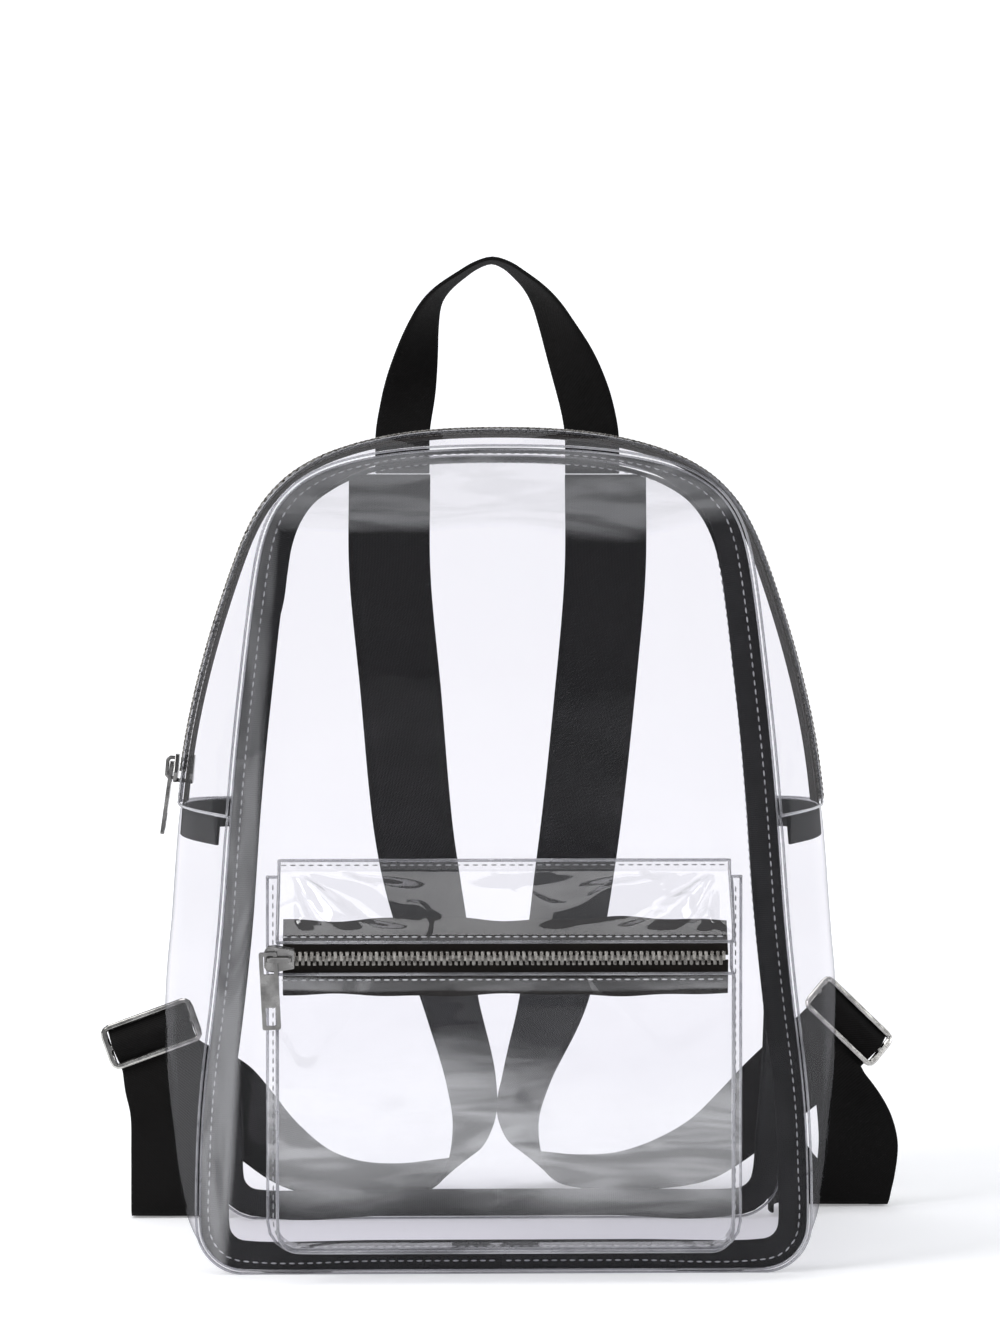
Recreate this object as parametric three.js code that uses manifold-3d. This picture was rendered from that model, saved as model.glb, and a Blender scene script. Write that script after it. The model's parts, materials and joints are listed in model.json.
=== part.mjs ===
// A clear backpack of soft PVC sheet with black webbing, built piece by piece.
// Millimetres, +Z up. The pocket faces -Y and the shoulder straps are on the +Y side.
// The origin is the middle of the underside of the base, which the bag stands on.
import * as THREE from "three";
import { mergeVertices } from "three/addons/utils/BufferGeometryUtils.js";
import Module from "manifold-3d";

const wasm = await Module();
wasm.setup();

// Bag body
const panelWidth = 210; // front and back panels at their widest, low down
const panelHeight = 282; // top of the panels at the middle
const bagDepth = 110; // outer face of the front panel to outer face of the back panel
const sideBulge = 19.5; // how far the side of the gusset stands out past the panels
const bulgePower = 2.4; // shape of that bulge from front to back, 2 for a parabola
const baseCorner = 17; // radius of the two bottom corners
const crossSeamHeight = 156; // where the zip strips are sewn to the lower gusset
const pvc = 1; // thickness of the clear sheet
const gap = 0.3; // air between two pieces that touch
const panelSwell = 3; // how far the front panel bellies out above the pocket

// Binding tape, folded over each seam allowance inside the bag
const bindingWidth = 10;
const bindingThick = 1.4;
const crossBindingShort = 6; // how far the cross seam's binding stops short of each panel

// Zips, the same size on the bag and on the pocket
const zipWindow = 10.7; // opening between the clear sheets
const zipTape = 26; // both tapes together
const zipTapeThick = 0.6;
const zipCord = 1.6; // clear width between the two tapes
const chainWidth = 5.8;
const chainThick = 2.2;
const sliderRoom = 0.5; // air between the slider's plates and what runs between them
const sliderLength = 10;
const sliderWidth = 8.6;
const sliderPlate = 1.4; // thickness of each of the slider's two plates
const postLength = 1.4; // the post that joins the plates, along the zip
const postWidth = 0.9;
const bridgeSpan = 8.4; // the arch that holds the pull
const bridgeRise = 3.2;
const bridgeWire = 1.2;
const bridgeWidth = 1.8;
const pullLength = 26;
const pullWidth = 6.2;
const pullThick = 1.3;
const pullBar = 1.4; // metal round the pull's two windows
const pullWindow = 6;
const sliderAboveSeam = 12; // from the left cross seam up to the middle of the bag zip's slider
const mainPullTilt = 3; // degrees that its pull hangs away from the bag
const pocketPullLean = 3; // degrees that the pocket pull hangs outwards

// Front pocket
const pocketWidth = 153;
const pocketHeight = 127;
const pocketRise = 11; // its bottom edge above the base
const pocketDepth = 20;
const pocketCorner = 7;
const pocketFlange = 3.2; // sewn rim flat on the front panel
const pocketDraft = 0.8; // the pocket narrows this much on each side towards its face
const pocketZipDrop = 28.2; // middle of the zip below the pocket's top seam
const pocketSlope = 21; // height of the sloping strip above the zip
const pocketSwell = 2; // how far its face bellies out
const pocketZipDip = 9; // the side walls stop short of the face by this much behind the zip
const pocketSliderOut = 0.8; // the slider's middle inside the end of the zip

// Webbing
const strapWidth = 30;
const webbingThick = 1.3;
const strapDrop = 6.5; // upper ends of the straps and handle below the panels' top
const loopDepth = 50; // how far the straps fall behind the back panel
const handleWidth = 20;
const handleSpread = 70; // between the middles of its two ends
const handleRise = 78; // sewn ends to the middle of the top
const handleTopLeft = 0.055; // its highest point left of the middle, a share of half the spread
const handleForward = 4; // the top leans forwards

// Slide buckles
const buckleLength = 36;
const buckleHeight = 17;
const buckleBar = 2.2; // width of each of its bars
const buckleThick = 2;
const buckleCorner = 4;
const buckleBevel = 0.6;
const webbingRoom = 0.4; // air between the webbing and the buckle

// Half of the panels' outline, above the bottom corner. up is a share of panelHeight, out a share
// of half the panelWidth and bulge a share of sideBulge.
const outlineRows = [
  { up: 0.142, out: 0.996, bulge: 0.57 },
  { up: 0.216, out: 0.986, bulge: 0.76 },
  { up: 0.309, out: 0.956, bulge: 0.96 },
  { up: 0.418, out: 0.924, bulge: 1.0 },
  { up: 0.553, out: 0.898, bulge: 1.0 },
  { up: 0.638, out: 0.878, bulge: 0.94 },
  { up: 0.727, out: 0.852, bulge: 0.79 },
  { up: 0.819, out: 0.822, bulge: 0.55 },
  { up: 0.894, out: 0.786, bulge: 0.33 },
  { up: 0.936, out: 0.732, bulge: 0.24 },
  { up: 0.965, out: 0.64, bulge: 0.23 },
  { up: 0.984, out: 0.505, bulge: 0.27 },
  { up: 0.995, out: 0.33, bulge: 0.33 },
  { up: 0.9993, out: 0.16, bulge: 0.36 },
];
const cornerBulge = 0.36; // share of sideBulge at the top of the bottom corner
const topBulge = 0.37; // share of sideBulge at the middle of the top

// How the bindings stand: 0 degrees is flat on the panel, 90 points to the other panel. The back
// one stands differently on the bag's left and right sides.
const bindingRows = [
  { up: 0.0, front: 0, left: 0, right: 0 },
  { up: 0.12, front: 3, left: 20, right: 40 },
  { up: 0.3, front: 7, left: 86, right: 88 },
  { up: 0.68, front: 14, left: 84, right: 90 },
  { up: 0.82, front: 20, left: 52, right: 88 },
  { up: 0.93, front: 36, left: 58, right: 78 },
  { up: 0.97, front: 58, left: 70, right: 82 },
  { up: 1.0, front: 95, left: 95, right: 95 },
];

// The handle's halves. up is a share of handleRise, left and right are shares of half the
// handleSpread, and the turns say how far the webbing has twisted, in degrees.
const handleRows = [
  { up: 0.0, left: 1.0, right: 1.0, leftTurn: 0, rightTurn: 0 },
  { up: 0.1, left: 1.0, right: 1.0, leftTurn: 0, rightTurn: 0 },
  { up: 0.2, left: 0.995, right: 0.992, leftTurn: 0, rightTurn: 0 },
  { up: 0.35, left: 0.94, right: 0.925, leftTurn: 10, rightTurn: 6 },
  { up: 0.535, left: 0.865, right: 0.79, leftTurn: 36, rightTurn: 28 },
  { up: 0.7, left: 0.775, right: 0.625, leftTurn: 58, rightTurn: 52 },
  { up: 0.82, left: 0.665, right: 0.485, leftTurn: 73, rightTurn: 66 },
  { up: 0.91, left: 0.46, right: 0.3, leftTurn: 82, rightTurn: 78 },
];

// The shoulder straps below the top seam, to the floor and out towards the buckles. out is a share
// of half the panelWidth, back a share of loopDepth behind the back panel, and up a share of
// panelHeight. yaw and lift aim the webbing's width in degrees: yaw 0 is towards the middle of the
// bag and 90 straight back, and lift is its rise.
const strapRows = {
  left: [
    { out: 0.378, back: 0.035, up: 0.85, yaw: 0, lift: 0 },
    { out: 0.342, back: 0.14, up: 0.7, yaw: 2, lift: 0 },
    { out: 0.281, back: 0.3, up: 0.472, yaw: 12, lift: 0 },
    { out: 0.158, back: 0.5, up: 0.27, yaw: 47, lift: 0 },
    { out: 0.084, back: 0.7, up: 0.16, yaw: 53, lift: 2 },
    { out: 0.077, back: 0.82, up: 0.1, yaw: 58, lift: 3 },
    { out: 0.128, back: 0.91, up: 0.047, yaw: 66, lift: 8 },
    { out: 0.25, back: 0.96, up: 0.028, yaw: 86, lift: 13 },
    { out: 0.45, back: 0.98, up: 0.021, yaw: 92, lift: 17 },
    { out: 0.6, back: 0.97, up: 0.031, yaw: 90, lift: 26 },
    { out: 0.75, back: 0.9, up: 0.06, yaw: 75, lift: 42 },
    { out: 0.87, back: 0.76, up: 0.105, yaw: 52, lift: 50 },
    { out: 0.985, back: 0.52, up: 0.152, yaw: 28, lift: 44 },
  ],
  right: [
    { out: 0.38, back: 0.035, up: 0.85, yaw: 0, lift: 0 },
    { out: 0.35, back: 0.16, up: 0.7, yaw: 0, lift: 0 },
    { out: 0.287, back: 0.36, up: 0.472, yaw: 8, lift: 0 },
    { out: 0.205, back: 0.62, up: 0.27, yaw: 34, lift: 0 },
    { out: 0.112, back: 0.92, up: 0.16, yaw: 57, lift: 2 },
    { out: 0.086, back: 1.1, up: 0.1, yaw: 61, lift: 3 },
    { out: 0.132, back: 1.25, up: 0.047, yaw: 68, lift: 8 },
    { out: 0.24, back: 1.33, up: 0.028, yaw: 86, lift: 13 },
    { out: 0.43, back: 1.37, up: 0.021, yaw: 92, lift: 18 },
    { out: 0.59, back: 1.36, up: 0.031, yaw: 90, lift: 27 },
    { out: 0.75, back: 1.28, up: 0.052, yaw: 76, lift: 40 },
    { out: 0.88, back: 1.12, up: 0.093, yaw: 60, lift: 52 },
    { out: 1.0, back: 0.93, up: 0.14, yaw: 36, lift: 54 },
  ],
};

// The lower webbing from the back panel's edge, round on the floor and up to the buckle, in the
// same shares and angles.
const lowerStrapRows = {
  left: [
    { out: 0.972, back: -0.005, up: 0.0585, yaw: 0, lift: 90 },
    { out: 0.97, back: 0.14, up: 0.0585, yaw: 0, lift: 90 },
    { out: 0.995, back: 0.29, up: 0.058, yaw: 0, lift: 86 },
    { out: 1.055, back: 0.37, up: 0.054, yaw: -20, lift: 68 },
    { out: 1.112, back: 0.31, up: 0.042, yaw: -40, lift: 44 },
    { out: 1.14, back: 0.2, up: 0.0225, yaw: -14, lift: 19 },
    { out: 1.147, back: 0.12, up: 0.0082, yaw: -2, lift: 4 },
    { out: 1.147, back: 0.06, up: 0.0048, yaw: 0, lift: 0 },
    { out: 1.147, back: 0.035, up: 0.0092, yaw: 0, lift: 0 },
    { out: 1.147, back: 0.03, up: 0.032, yaw: 0, lift: 0 },
    { out: 1.147, back: 0.03, up: 0.085, yaw: 0, lift: 0 },
    { out: 1.15, back: 0.04, up: 0.14, yaw: 0, lift: 4 },
    { out: 1.17, back: 0.06, up: 0.175, yaw: 0, lift: 11 },
  ],
  right: [
    { out: 0.972, back: -0.005, up: 0.0585, yaw: 0, lift: 90 },
    { out: 0.97, back: 0.16, up: 0.0585, yaw: 0, lift: 90 },
    { out: 0.985, back: 0.38, up: 0.058, yaw: 0, lift: 88 },
    { out: 1.03, back: 0.56, up: 0.057, yaw: -6, lift: 80 },
    { out: 1.11, back: 0.66, up: 0.053, yaw: -20, lift: 64 },
    { out: 1.195, back: 0.65, up: 0.042, yaw: -42, lift: 43 },
    { out: 1.245, back: 0.58, up: 0.0235, yaw: -16, lift: 20 },
    { out: 1.262, back: 0.5, up: 0.0082, yaw: -2, lift: 4 },
    { out: 1.268, back: 0.46, up: 0.0048, yaw: 0, lift: 0 },
    { out: 1.27, back: 0.44, up: 0.0092, yaw: 0, lift: 0 },
    { out: 1.285, back: 0.43, up: 0.035, yaw: 0, lift: 0 },
    { out: 1.3, back: 0.42, up: 0.085, yaw: 0, lift: 4 },
    { out: 1.285, back: 0.4, up: 0.13, yaw: 0, lift: 14 },
    { out: 1.25, back: 0.37, up: 0.18, yaw: 0, lift: 30 },
  ],
};

// Where each slide buckle hangs, in the same shares. roll lifts its inner end and pitch leans its
// top back, in degrees.
const bucklePlaces = {
  left: { out: 1.22, back: 0.09, up: 0.242, roll: 20, pitch: 6 },
  right: { out: 1.268, back: 0.47, up: 0.248, roll: 44, pitch: 28 },
};

// Finishes
const clearSheet = new THREE.MeshStandardMaterial({
  color: 0xf2f1f4,
  roughness: 0.08,
  metalness: 0,
  transparent: true,
  opacity: 0.25,
});
const blackWebbing = new THREE.MeshStandardMaterial({
  color: 0x121110,
  roughness: 0.85,
  metalness: 0,
});
const bindingTape = new THREE.MeshStandardMaterial({
  color: 0x1b1b1c,
  roughness: 0.8,
  metalness: 0,
});
const zipFabric = new THREE.MeshStandardMaterial({
  color: 0x1a1614,
  roughness: 0.9,
  metalness: 0,
});
const zipMetal = new THREE.MeshStandardMaterial({
  color: 0xc9c8c4,
  roughness: 0.3,
  metalness: 1,
});

const vec = (x, y, z) => new THREE.Vector3(x, y, z);
const rad = THREE.MathUtils.degToRad;
const frontFace = -bagDepth / 2;
const backFace = bagDepth / 2;
const left = -1;
const right = 1;

// A value read from a table by one of its columns, along straight lines between its rows.
function lookUp(rows, key, at, column) {
  const after = rows.findIndex((row) => row[key] >= at);
  if (after === 0) return rows[0][column];
  if (after < 0) return rows[rows.length - 1][column];
  const low = rows[after - 1];
  const high = rows[after];
  return THREE.MathUtils.mapLinear(at, low[key], high[key], low[column], high[column]);
}

// A closed solid between two grids of points, one for each face of a sheet. Each grid is a list
// of rows. A looped sheet joins its last row to its first.
function sheet(outer, inner, looped = false) {
  const count = outer.length;
  const across = outer[0].length;
  const points = [...outer.flat(), ...inner.flat()];
  const faces = [];
  const quad = (a, b, c, d) => faces.push(a, b, c, a, c, d);
  const out = (i, j) => (i % count) * across + j;
  const into = (i, j) => count * across + out(i, j);
  const spans = looped ? count : count - 1;
  for (let i = 0; i < spans; i++) {
    for (let j = 0; j < across - 1; j++) {
      quad(out(i, j), out(i + 1, j), out(i + 1, j + 1), out(i, j + 1));
      quad(into(i, j), into(i, j + 1), into(i + 1, j + 1), into(i + 1, j));
    }
    const last = across - 1;
    quad(out(i, 0), into(i, 0), into(i + 1, 0), out(i + 1, 0));
    quad(out(i, last), out(i + 1, last), into(i + 1, last), into(i, last));
  }
  if (!looped) {
    const end = count - 1;
    for (let j = 0; j < across - 1; j++) {
      quad(out(0, j), out(0, j + 1), into(0, j + 1), into(0, j));
      quad(out(end, j), into(end, j), into(end, j + 1), out(end, j + 1));
    }
  }
  const geometry = new THREE.BufferGeometry().setFromPoints(points);
  geometry.setIndex(signedVolume(points, faces) < 0 ? faces.reverse() : faces);
  return geometry;
}

function signedVolume(points, faces) {
  let sum = 0;
  for (let i = 0; i < faces.length; i += 3) {
    const [a, b, c] = faces.slice(i, i + 3).map((k) => points[k]);
    sum += a.dot(b.clone().cross(c));
  }
  return sum / 6;
}

// One closed solid made by joining several closed geometries that overlap.
function fuse(geometries) {
  const solids = geometries.map((geometry) => {
    const bare = new THREE.BufferGeometry();
    bare.setAttribute("position", geometry.getAttribute("position"));
    if (geometry.index) bare.setIndex(geometry.index);
    const merged = mergeVertices(bare, 1e-4);
    const mesh = new wasm.Mesh({
      numProp: 3,
      vertProperties: new Float32Array(merged.attributes.position.array),
      triVerts: new Uint32Array(merged.index.array),
    });
    return new wasm.Manifold(mesh);
  });
  const joined = solids.reduce((sum, solid) => sum.add(solid)).getMesh();
  const geometry = new THREE.BufferGeometry();
  geometry.setAttribute("position", new THREE.BufferAttribute(joined.vertProperties, 3));
  geometry.setIndex(new THREE.BufferAttribute(joined.triVerts, 1));
  return geometry;
}

// Half of the panels' outline as stations, from the middle of the base to the middle of the top.
// The zip strips and the lower gusset part at the cross seam, with the gap between them.
function halfOutline() {
  const half = panelWidth / 2;
  const curve = new THREE.CatmullRomCurve3(
    [
      vec(half, cornerBulge, baseCorner),
      ...outlineRows.map((row) => vec(row.out * half, row.bulge, row.up * panelHeight)),
      vec(0, topBulge, panelHeight),
    ],
    false,
    "centripetal",
  );
  const shareAt = (height) => {
    let low = 0;
    let high = 1;
    for (let k = 0; k < 30; k++) {
      const middle = (low + high) / 2;
      if (curve.getPointAt(middle).z < height) low = middle;
      else high = middle;
    }
    return low;
  };
  const stretch = (from, to, steps) =>
    Array.from({ length: steps + 1 }, (_, k) => {
      const p = curve.getPointAt(THREE.MathUtils.lerp(from, to, k / steps));
      return { x: p.x, z: p.z, bulge: p.y * sideBulge };
    });
  const lower = [0, 0.5, 1].map((share) => ({
    x: share * (half - baseCorner),
    z: 0,
    bulge: 0,
  }));
  const cornerSteps = 5;
  for (let k = 1; k < cornerSteps; k++) {
    const turn = (Math.PI / 2) * (k / cornerSteps);
    const z = baseCorner * (1 - Math.cos(turn));
    lower.push({
      x: half - baseCorner + baseCorner * Math.sin(turn),
      z,
      bulge: cornerBulge * sideBulge * (z / baseCorner),
    });
  }
  lower.push(...stretch(0, shareAt(crossSeamHeight - gap / 2), 8));
  const upper = stretch(shareAt(crossSeamHeight + gap / 2), 1, 18);
  return { lower, upper };
}

// The whole outline, anticlockwise as seen from the front, with the way out at each station.
function wholeOutline() {
  const { lower, upper } = halfOutline();
  const mirror = (stations) => stations.map((s) => ({ ...s, x: -s.x }));
  const low = [...mirror(lower).reverse(), ...lower.slice(1)];
  const high = [...upper, ...mirror(upper).reverse().slice(1)];
  const loop = [...low, ...high];
  const withNormals = loop.map((s, i) => {
    const before = loop[(i + loop.length - 1) % loop.length];
    const after = loop[(i + 1) % loop.length];
    const length = Math.hypot(after.x - before.x, after.z - before.z);
    return { ...s, nx: (after.z - before.z) / length, nz: (before.x - after.x) / length };
  });
  return {
    loop: withNormals,
    lower: withNormals.slice(0, low.length),
    upper: withNormals.slice(low.length),
  };
}
const outline = wholeOutline();

// How much of the bulge is reached at depth y.
const bulgeShare = (y) => 1 - Math.abs((2 * y) / bagDepth) ** bulgePower;

// A point of the gusset at one station and depth, sunk below its outer surface by sink.
function gussetPoint(station, y, sink) {
  const out = station.bulge * bulgeShare(y) - sink;
  return vec(station.x + station.nx * out, y, station.z + station.nz * out);
}

// A sheet that follows the gusset along the stations, between two sinks and over some depths.
function gussetSheet(stations, depths, sinkOut, sinkIn) {
  const grid = (sink) => stations.map((s) => depths.map((y) => gussetPoint(s, y, sink)));
  return sheet(grid(sinkOut), grid(sinkIn));
}

// count depths spread evenly from one to the other.
const depthSteps = (from, to, count) =>
  Array.from({ length: count }, (_, k) => THREE.MathUtils.lerp(from, to, k / (count - 1)));

// A flat plate across the bag between two depths, from rows of a height and a half width. swell
// gives how far its points stand forwards.
function plate(rows, frontY, backY, columns, swell = () => 0) {
  const shares = Array.from({ length: columns }, (_, k) => -1 + (2 * k) / (columns - 1));
  const grid = (y) =>
    rows.map((row) =>
      shares.map((share) => vec(share * row.half, y - swell(share, row.z), row.z)),
    );
  return sheet(grid(frontY), grid(backY));
}

// Rows for a panel that fits inside the gusset's wall.
function panelRows() {
  const inset = pvc + gap;
  return outline.loop
    .filter((s) => s.x > (panelWidth / 2) * 0.1)
    .map((s) => ({ half: s.x - s.nx * inset, z: s.z - s.nz * inset }))
    .sort((a, b) => a.z - b.z)
    .filter((row, k, all) => k === 0 || row.z - all[k - 1].z > 1e-3 || row.half > all[k - 1].half);
}

const pocketTop = pocketRise + pocketHeight;

// The belly of the front panel, between the pocket's rim and the top seam.
function frontSwell(share, z) {
  const low = pocketTop + pocketFlange + gap;
  const high = panelHeight * 0.96;
  if (z < low || z > high) return 0;
  const rise = Math.sin((Math.PI * (z - low)) / (high - low)) ** 2;
  return panelSwell * rise * (1 - share * share);
}

// Rows of a panel with one row left along its flat bottom edge.
function flatRows(rows) {
  const above = rows[0].z + 1e-3;
  return [rows.filter((row) => row.z < above).pop(), ...rows.filter((row) => row.z >= above)];
}

const frontPanel = () =>
  plate(flatRows(panelRows()), frontFace, frontFace + pvc, 7, frontSwell);
const backPanel = () => plate(flatRows(panelRows()), backFace - pvc, backFace, 3);

// The lower gusset bends at the same depths as the cross seams' bindings.
const bindingReach = backFace - crossBindingShort;
const bindingDepths = depthSteps(-bindingReach, bindingReach, 7);
const lowerGusset = () =>
  gussetSheet(outline.lower, [frontFace, ...bindingDepths, backFace], 0, pvc);

const zipStrip = (side) =>
  gussetSheet(outline.upper, depthSteps((side * zipWindow) / 2, side * backFace, 5), 0, pvc);

const tapeSink = pvc + gap;
function bagZipTape(side) {
  const depths = [(side * zipCord) / 2, (side * zipTape) / 2];
  return gussetSheet(outline.upper, depths, tapeSink, tapeSink + zipTapeThick);
}

// The bag's slider stands at this place on the left side, looking down along the zip.
const mainSliderHeight = crossSeamHeight + sliderAboveSeam;
function mainSliderSpot() {
  const ordered = outline.upper.filter((s) => s.x < 0).sort((a, b) => a.z - b.z);
  const read = (column) => lookUp(ordered, "z", mainSliderHeight, column);
  const out = vec(read("nx"), 0, read("nz")).normalize();
  const at = vec(read("x"), 0, read("z")).addScaledVector(out, read("bulge"));
  const along = vec(out.z, 0, -out.x).negate().normalize();
  return { at, out, along };
}

// The bag's chain of teeth ends just behind the slider's post.
function bagChain() {
  const stopZ = mainSliderHeight - sliderLength / 2 + postLength + 2 * gap;
  const stations = outline.upper.filter((s) => s.x > 0 || s.z > stopZ);
  const half = chainWidth / 2;
  const sink = tapeSink - gap;
  return gussetSheet(stations, [-half, half], sink - chainThick, sink);
}

// Binding round a panel's seam, inside the bag. side is -1 for the front panel, 1 for the back.
function panelBinding(side) {
  const inset = pvc + gap;
  const section = outline.loop.map((s) => {
    const column = side === -1 ? "front" : s.x < 0 ? "left" : "right";
    const turn = rad(lookUp(bindingRows, "up", s.z / panelHeight, column));
    const spot = (along, thick) => {
      const inwards = inset + along * Math.cos(turn) + (bindingThick - thick) * Math.sin(turn);
      const back = pvc + gap + along * Math.sin(turn) + thick * Math.cos(turn);
      return vec(s.x - s.nx * inwards, side * (backFace - back), s.z - s.nz * inwards);
    };
    return {
      near: [spot(0, 0), spot(bindingWidth, 0)],
      far: [spot(0, bindingThick), spot(bindingWidth, bindingThick)],
    };
  });
  return sheet(
    section.map((s) => s.near),
    section.map((s) => s.far),
    true,
  );
}

// Binding along a cross seam, on the inner face of the lower gusset.
function crossBinding(side) {
  const ordered = outline.lower.filter((s) => s.x * side > 0).sort((a, b) => a.z - b.z);
  const at = (z) => {
    const read = (column) => lookUp(ordered, "z", z, column);
    return { x: read("x"), z, nx: read("nx"), nz: read("nz"), bulge: read("bulge") };
  };
  const top = crossSeamHeight - gap;
  const stations = [top - bindingWidth, top - bindingWidth / 2, top].map(at);
  const sink = pvc + 1.3 * gap;
  return gussetSheet(stations, bindingDepths, sink, sink + bindingThick);
}

// The strip above the pocket's zip slopes back to the front panel from this height.
const slopeFoot = pocketTop - pocketSlope;
const slopeStretch = Math.hypot(pocketDepth, pocketSlope) / pocketSlope;
const innerFoot = slopeFoot - pvc / 2;
const innerTop = pocketTop - pvc / 2;

// The farthest that a piece behind the pocket's face may reach at a height.
function behindFace(z) {
  if (z <= innerFoot) return pocketDepth - pvc - gap;
  const sloping = THREE.MathUtils.mapLinear(z, innerFoot, innerTop, pocketDepth - pvc, gap);
  return sloping - gap * slopeStretch;
}
const pocketZip = pocketTop - pocketZipDrop;
const inFront = (depth) => frontFace - depth;

// The pocket's side and bottom walls, one strip with a sewn rim on the front panel.
function pocketWall() {
  const half = pocketWidth / 2 + pocketDraft;
  const least = pvc + 2 * gap;
  const fall = (pocketDepth - pvc - gap) / (innerTop - innerFoot);
  const wallTop = innerFoot + (pocketDepth - pvc - gap * slopeStretch - least) / fall;
  const dipEnd = 1;
  const zs = [
    wallTop,
    innerFoot,
    pocketZip + zipWindow / 2 + dipEnd,
    pocketZip + zipWindow / 2 - dipEnd,
    pocketZip - zipWindow / 2 + dipEnd,
    pocketZip - zipWindow / 2 - dipEnd,
    pocketRise + pocketHeight / 3,
  ];
  const stations = zs.map((z) => ({ x: half, z, nx: 1, nz: 0 }));
  const cornerSteps = 4;
  for (let k = 0; k <= cornerSteps; k++) {
    const turn = (Math.PI / 2) * (k / cornerSteps);
    stations.push({
      x: half - pocketCorner * (1 - Math.cos(turn)),
      z: pocketRise + pocketCorner * (1 - Math.sin(turn)),
      nx: Math.cos(turn),
      nz: -Math.sin(turn),
    });
  }
  const whole = [...stations, ...stations.map((s) => ({ ...s, x: -s.x, nx: -s.nx })).reverse()];
  const behindZip = (z) => Math.abs(z - pocketZip) < zipWindow / 2;
  const edge = (z) => behindFace(z) - (behindZip(z) ? pocketZipDip : 0);
  const spot = (s, out, depth) => vec(s.x + s.nx * out, inFront(depth), s.z + s.nz * out);
  const outer = whole.map((s) => [
    spot(s, pocketFlange, gap + pvc),
    spot(s, 0, gap + pvc),
    spot(s, -pocketDraft, edge(s.z)),
  ]);
  const inner = whole.map((s) => [
    spot(s, pocketFlange, gap),
    spot(s, -pvc, gap),
    spot(s, -pocketDraft - pvc, edge(s.z)),
  ]);
  return sheet(outer, inner);
}

// The pocket's face below the zip, with its rounded bottom corners.
function pocketFront() {
  const half = pocketWidth / 2;
  const high = pocketZip - zipWindow / 2;
  const cornerSteps = 4;
  const rows = [];
  for (let k = 0; k <= cornerSteps; k++) {
    const turn = (Math.PI / 2) * (k / cornerSteps);
    rows.push({
      half: half - pocketCorner * (1 - Math.sin(turn)),
      z: pocketRise + pocketCorner * (1 - Math.cos(turn)),
    });
  }
  const plainSteps = 5;
  for (let k = 1; k <= plainSteps; k++) {
    rows.push({ half, z: THREE.MathUtils.lerp(pocketRise + pocketCorner, high, k / plainSteps) });
  }
  const swell = (share, z) => {
    const rise = Math.sin((Math.PI * (z - pocketRise)) / (high - pocketRise));
    return pocketSwell * rise * (1 - share * share);
  };
  return plate(rows, inFront(pocketDepth), inFront(pocketDepth - pvc), 7, swell);
}

// A sheet across the pocket from a list of depths and heights, thickened backwards.
function pocketStrip(half, rows, thick) {
  const grid = (sink) =>
    rows.map((row) => [-half, 0, half].map((x) => vec(x, inFront(row.depth - sink), row.z)));
  return sheet(grid(0), grid(thick));
}

// The sloping strip above the zip, with its rim on the front panel.
function pocketTopStrip() {
  const rim = pvc + gap;
  const outer = [
    { depth: rim, z: pocketTop + pocketFlange },
    { depth: rim, z: pocketTop },
    { depth: pocketDepth, z: slopeFoot },
    { depth: pocketDepth, z: pocketZip + zipWindow / 2 },
  ];
  const inner = [
    { depth: gap, z: pocketTop + pocketFlange },
    { depth: gap, z: innerTop },
    { depth: pocketDepth - pvc, z: innerFoot },
    { depth: pocketDepth - pvc, z: pocketZip + zipWindow / 2 },
  ];
  const half = pocketWidth / 2;
  const shares = [-1, -0.5, 0, 0.5, 1];
  const grid = (rows) =>
    rows.map((row) => shares.map((share) => vec(share * half, inFront(row.depth), row.z)));
  return sheet(grid(outer), grid(inner));
}

const pocketTapeDepth = pocketDepth - pvc - gap;
const pocketTapeHalf = pocketWidth / 2 - pocketDraft - pvc;
function pocketTapeLower() {
  const rows = [
    { depth: pocketTapeDepth, z: pocketZip - zipTape / 2 },
    { depth: pocketTapeDepth, z: pocketZip - zipCord / 2 },
  ];
  return pocketStrip(pocketTapeHalf, rows, zipTapeThick);
}
function pocketTapeUpper() {
  const bend = innerFoot - gap;
  const top = pocketZip + zipTape / 2;
  const rows = [
    { depth: pocketTapeDepth, z: pocketZip + zipCord / 2 },
    { depth: pocketTapeDepth, z: bend },
    { depth: behindFace(top), z: top },
  ];
  return pocketStrip(pocketTapeHalf, rows, zipTapeThick);
}

const pocketSliderX = -(pocketWidth / 2) + pocketSliderOut;
function pocketChain() {
  const start = pocketSliderX - sliderLength / 2 + postLength + 2 * gap;
  const length = pocketTapeHalf - start;
  const box = new THREE.BoxGeometry(length, chainThick, chainWidth);
  const depth = pocketTapeDepth + gap + chainThick / 2;
  return box.translate(start + length / 2, inFront(depth), pocketZip);
}

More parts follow.
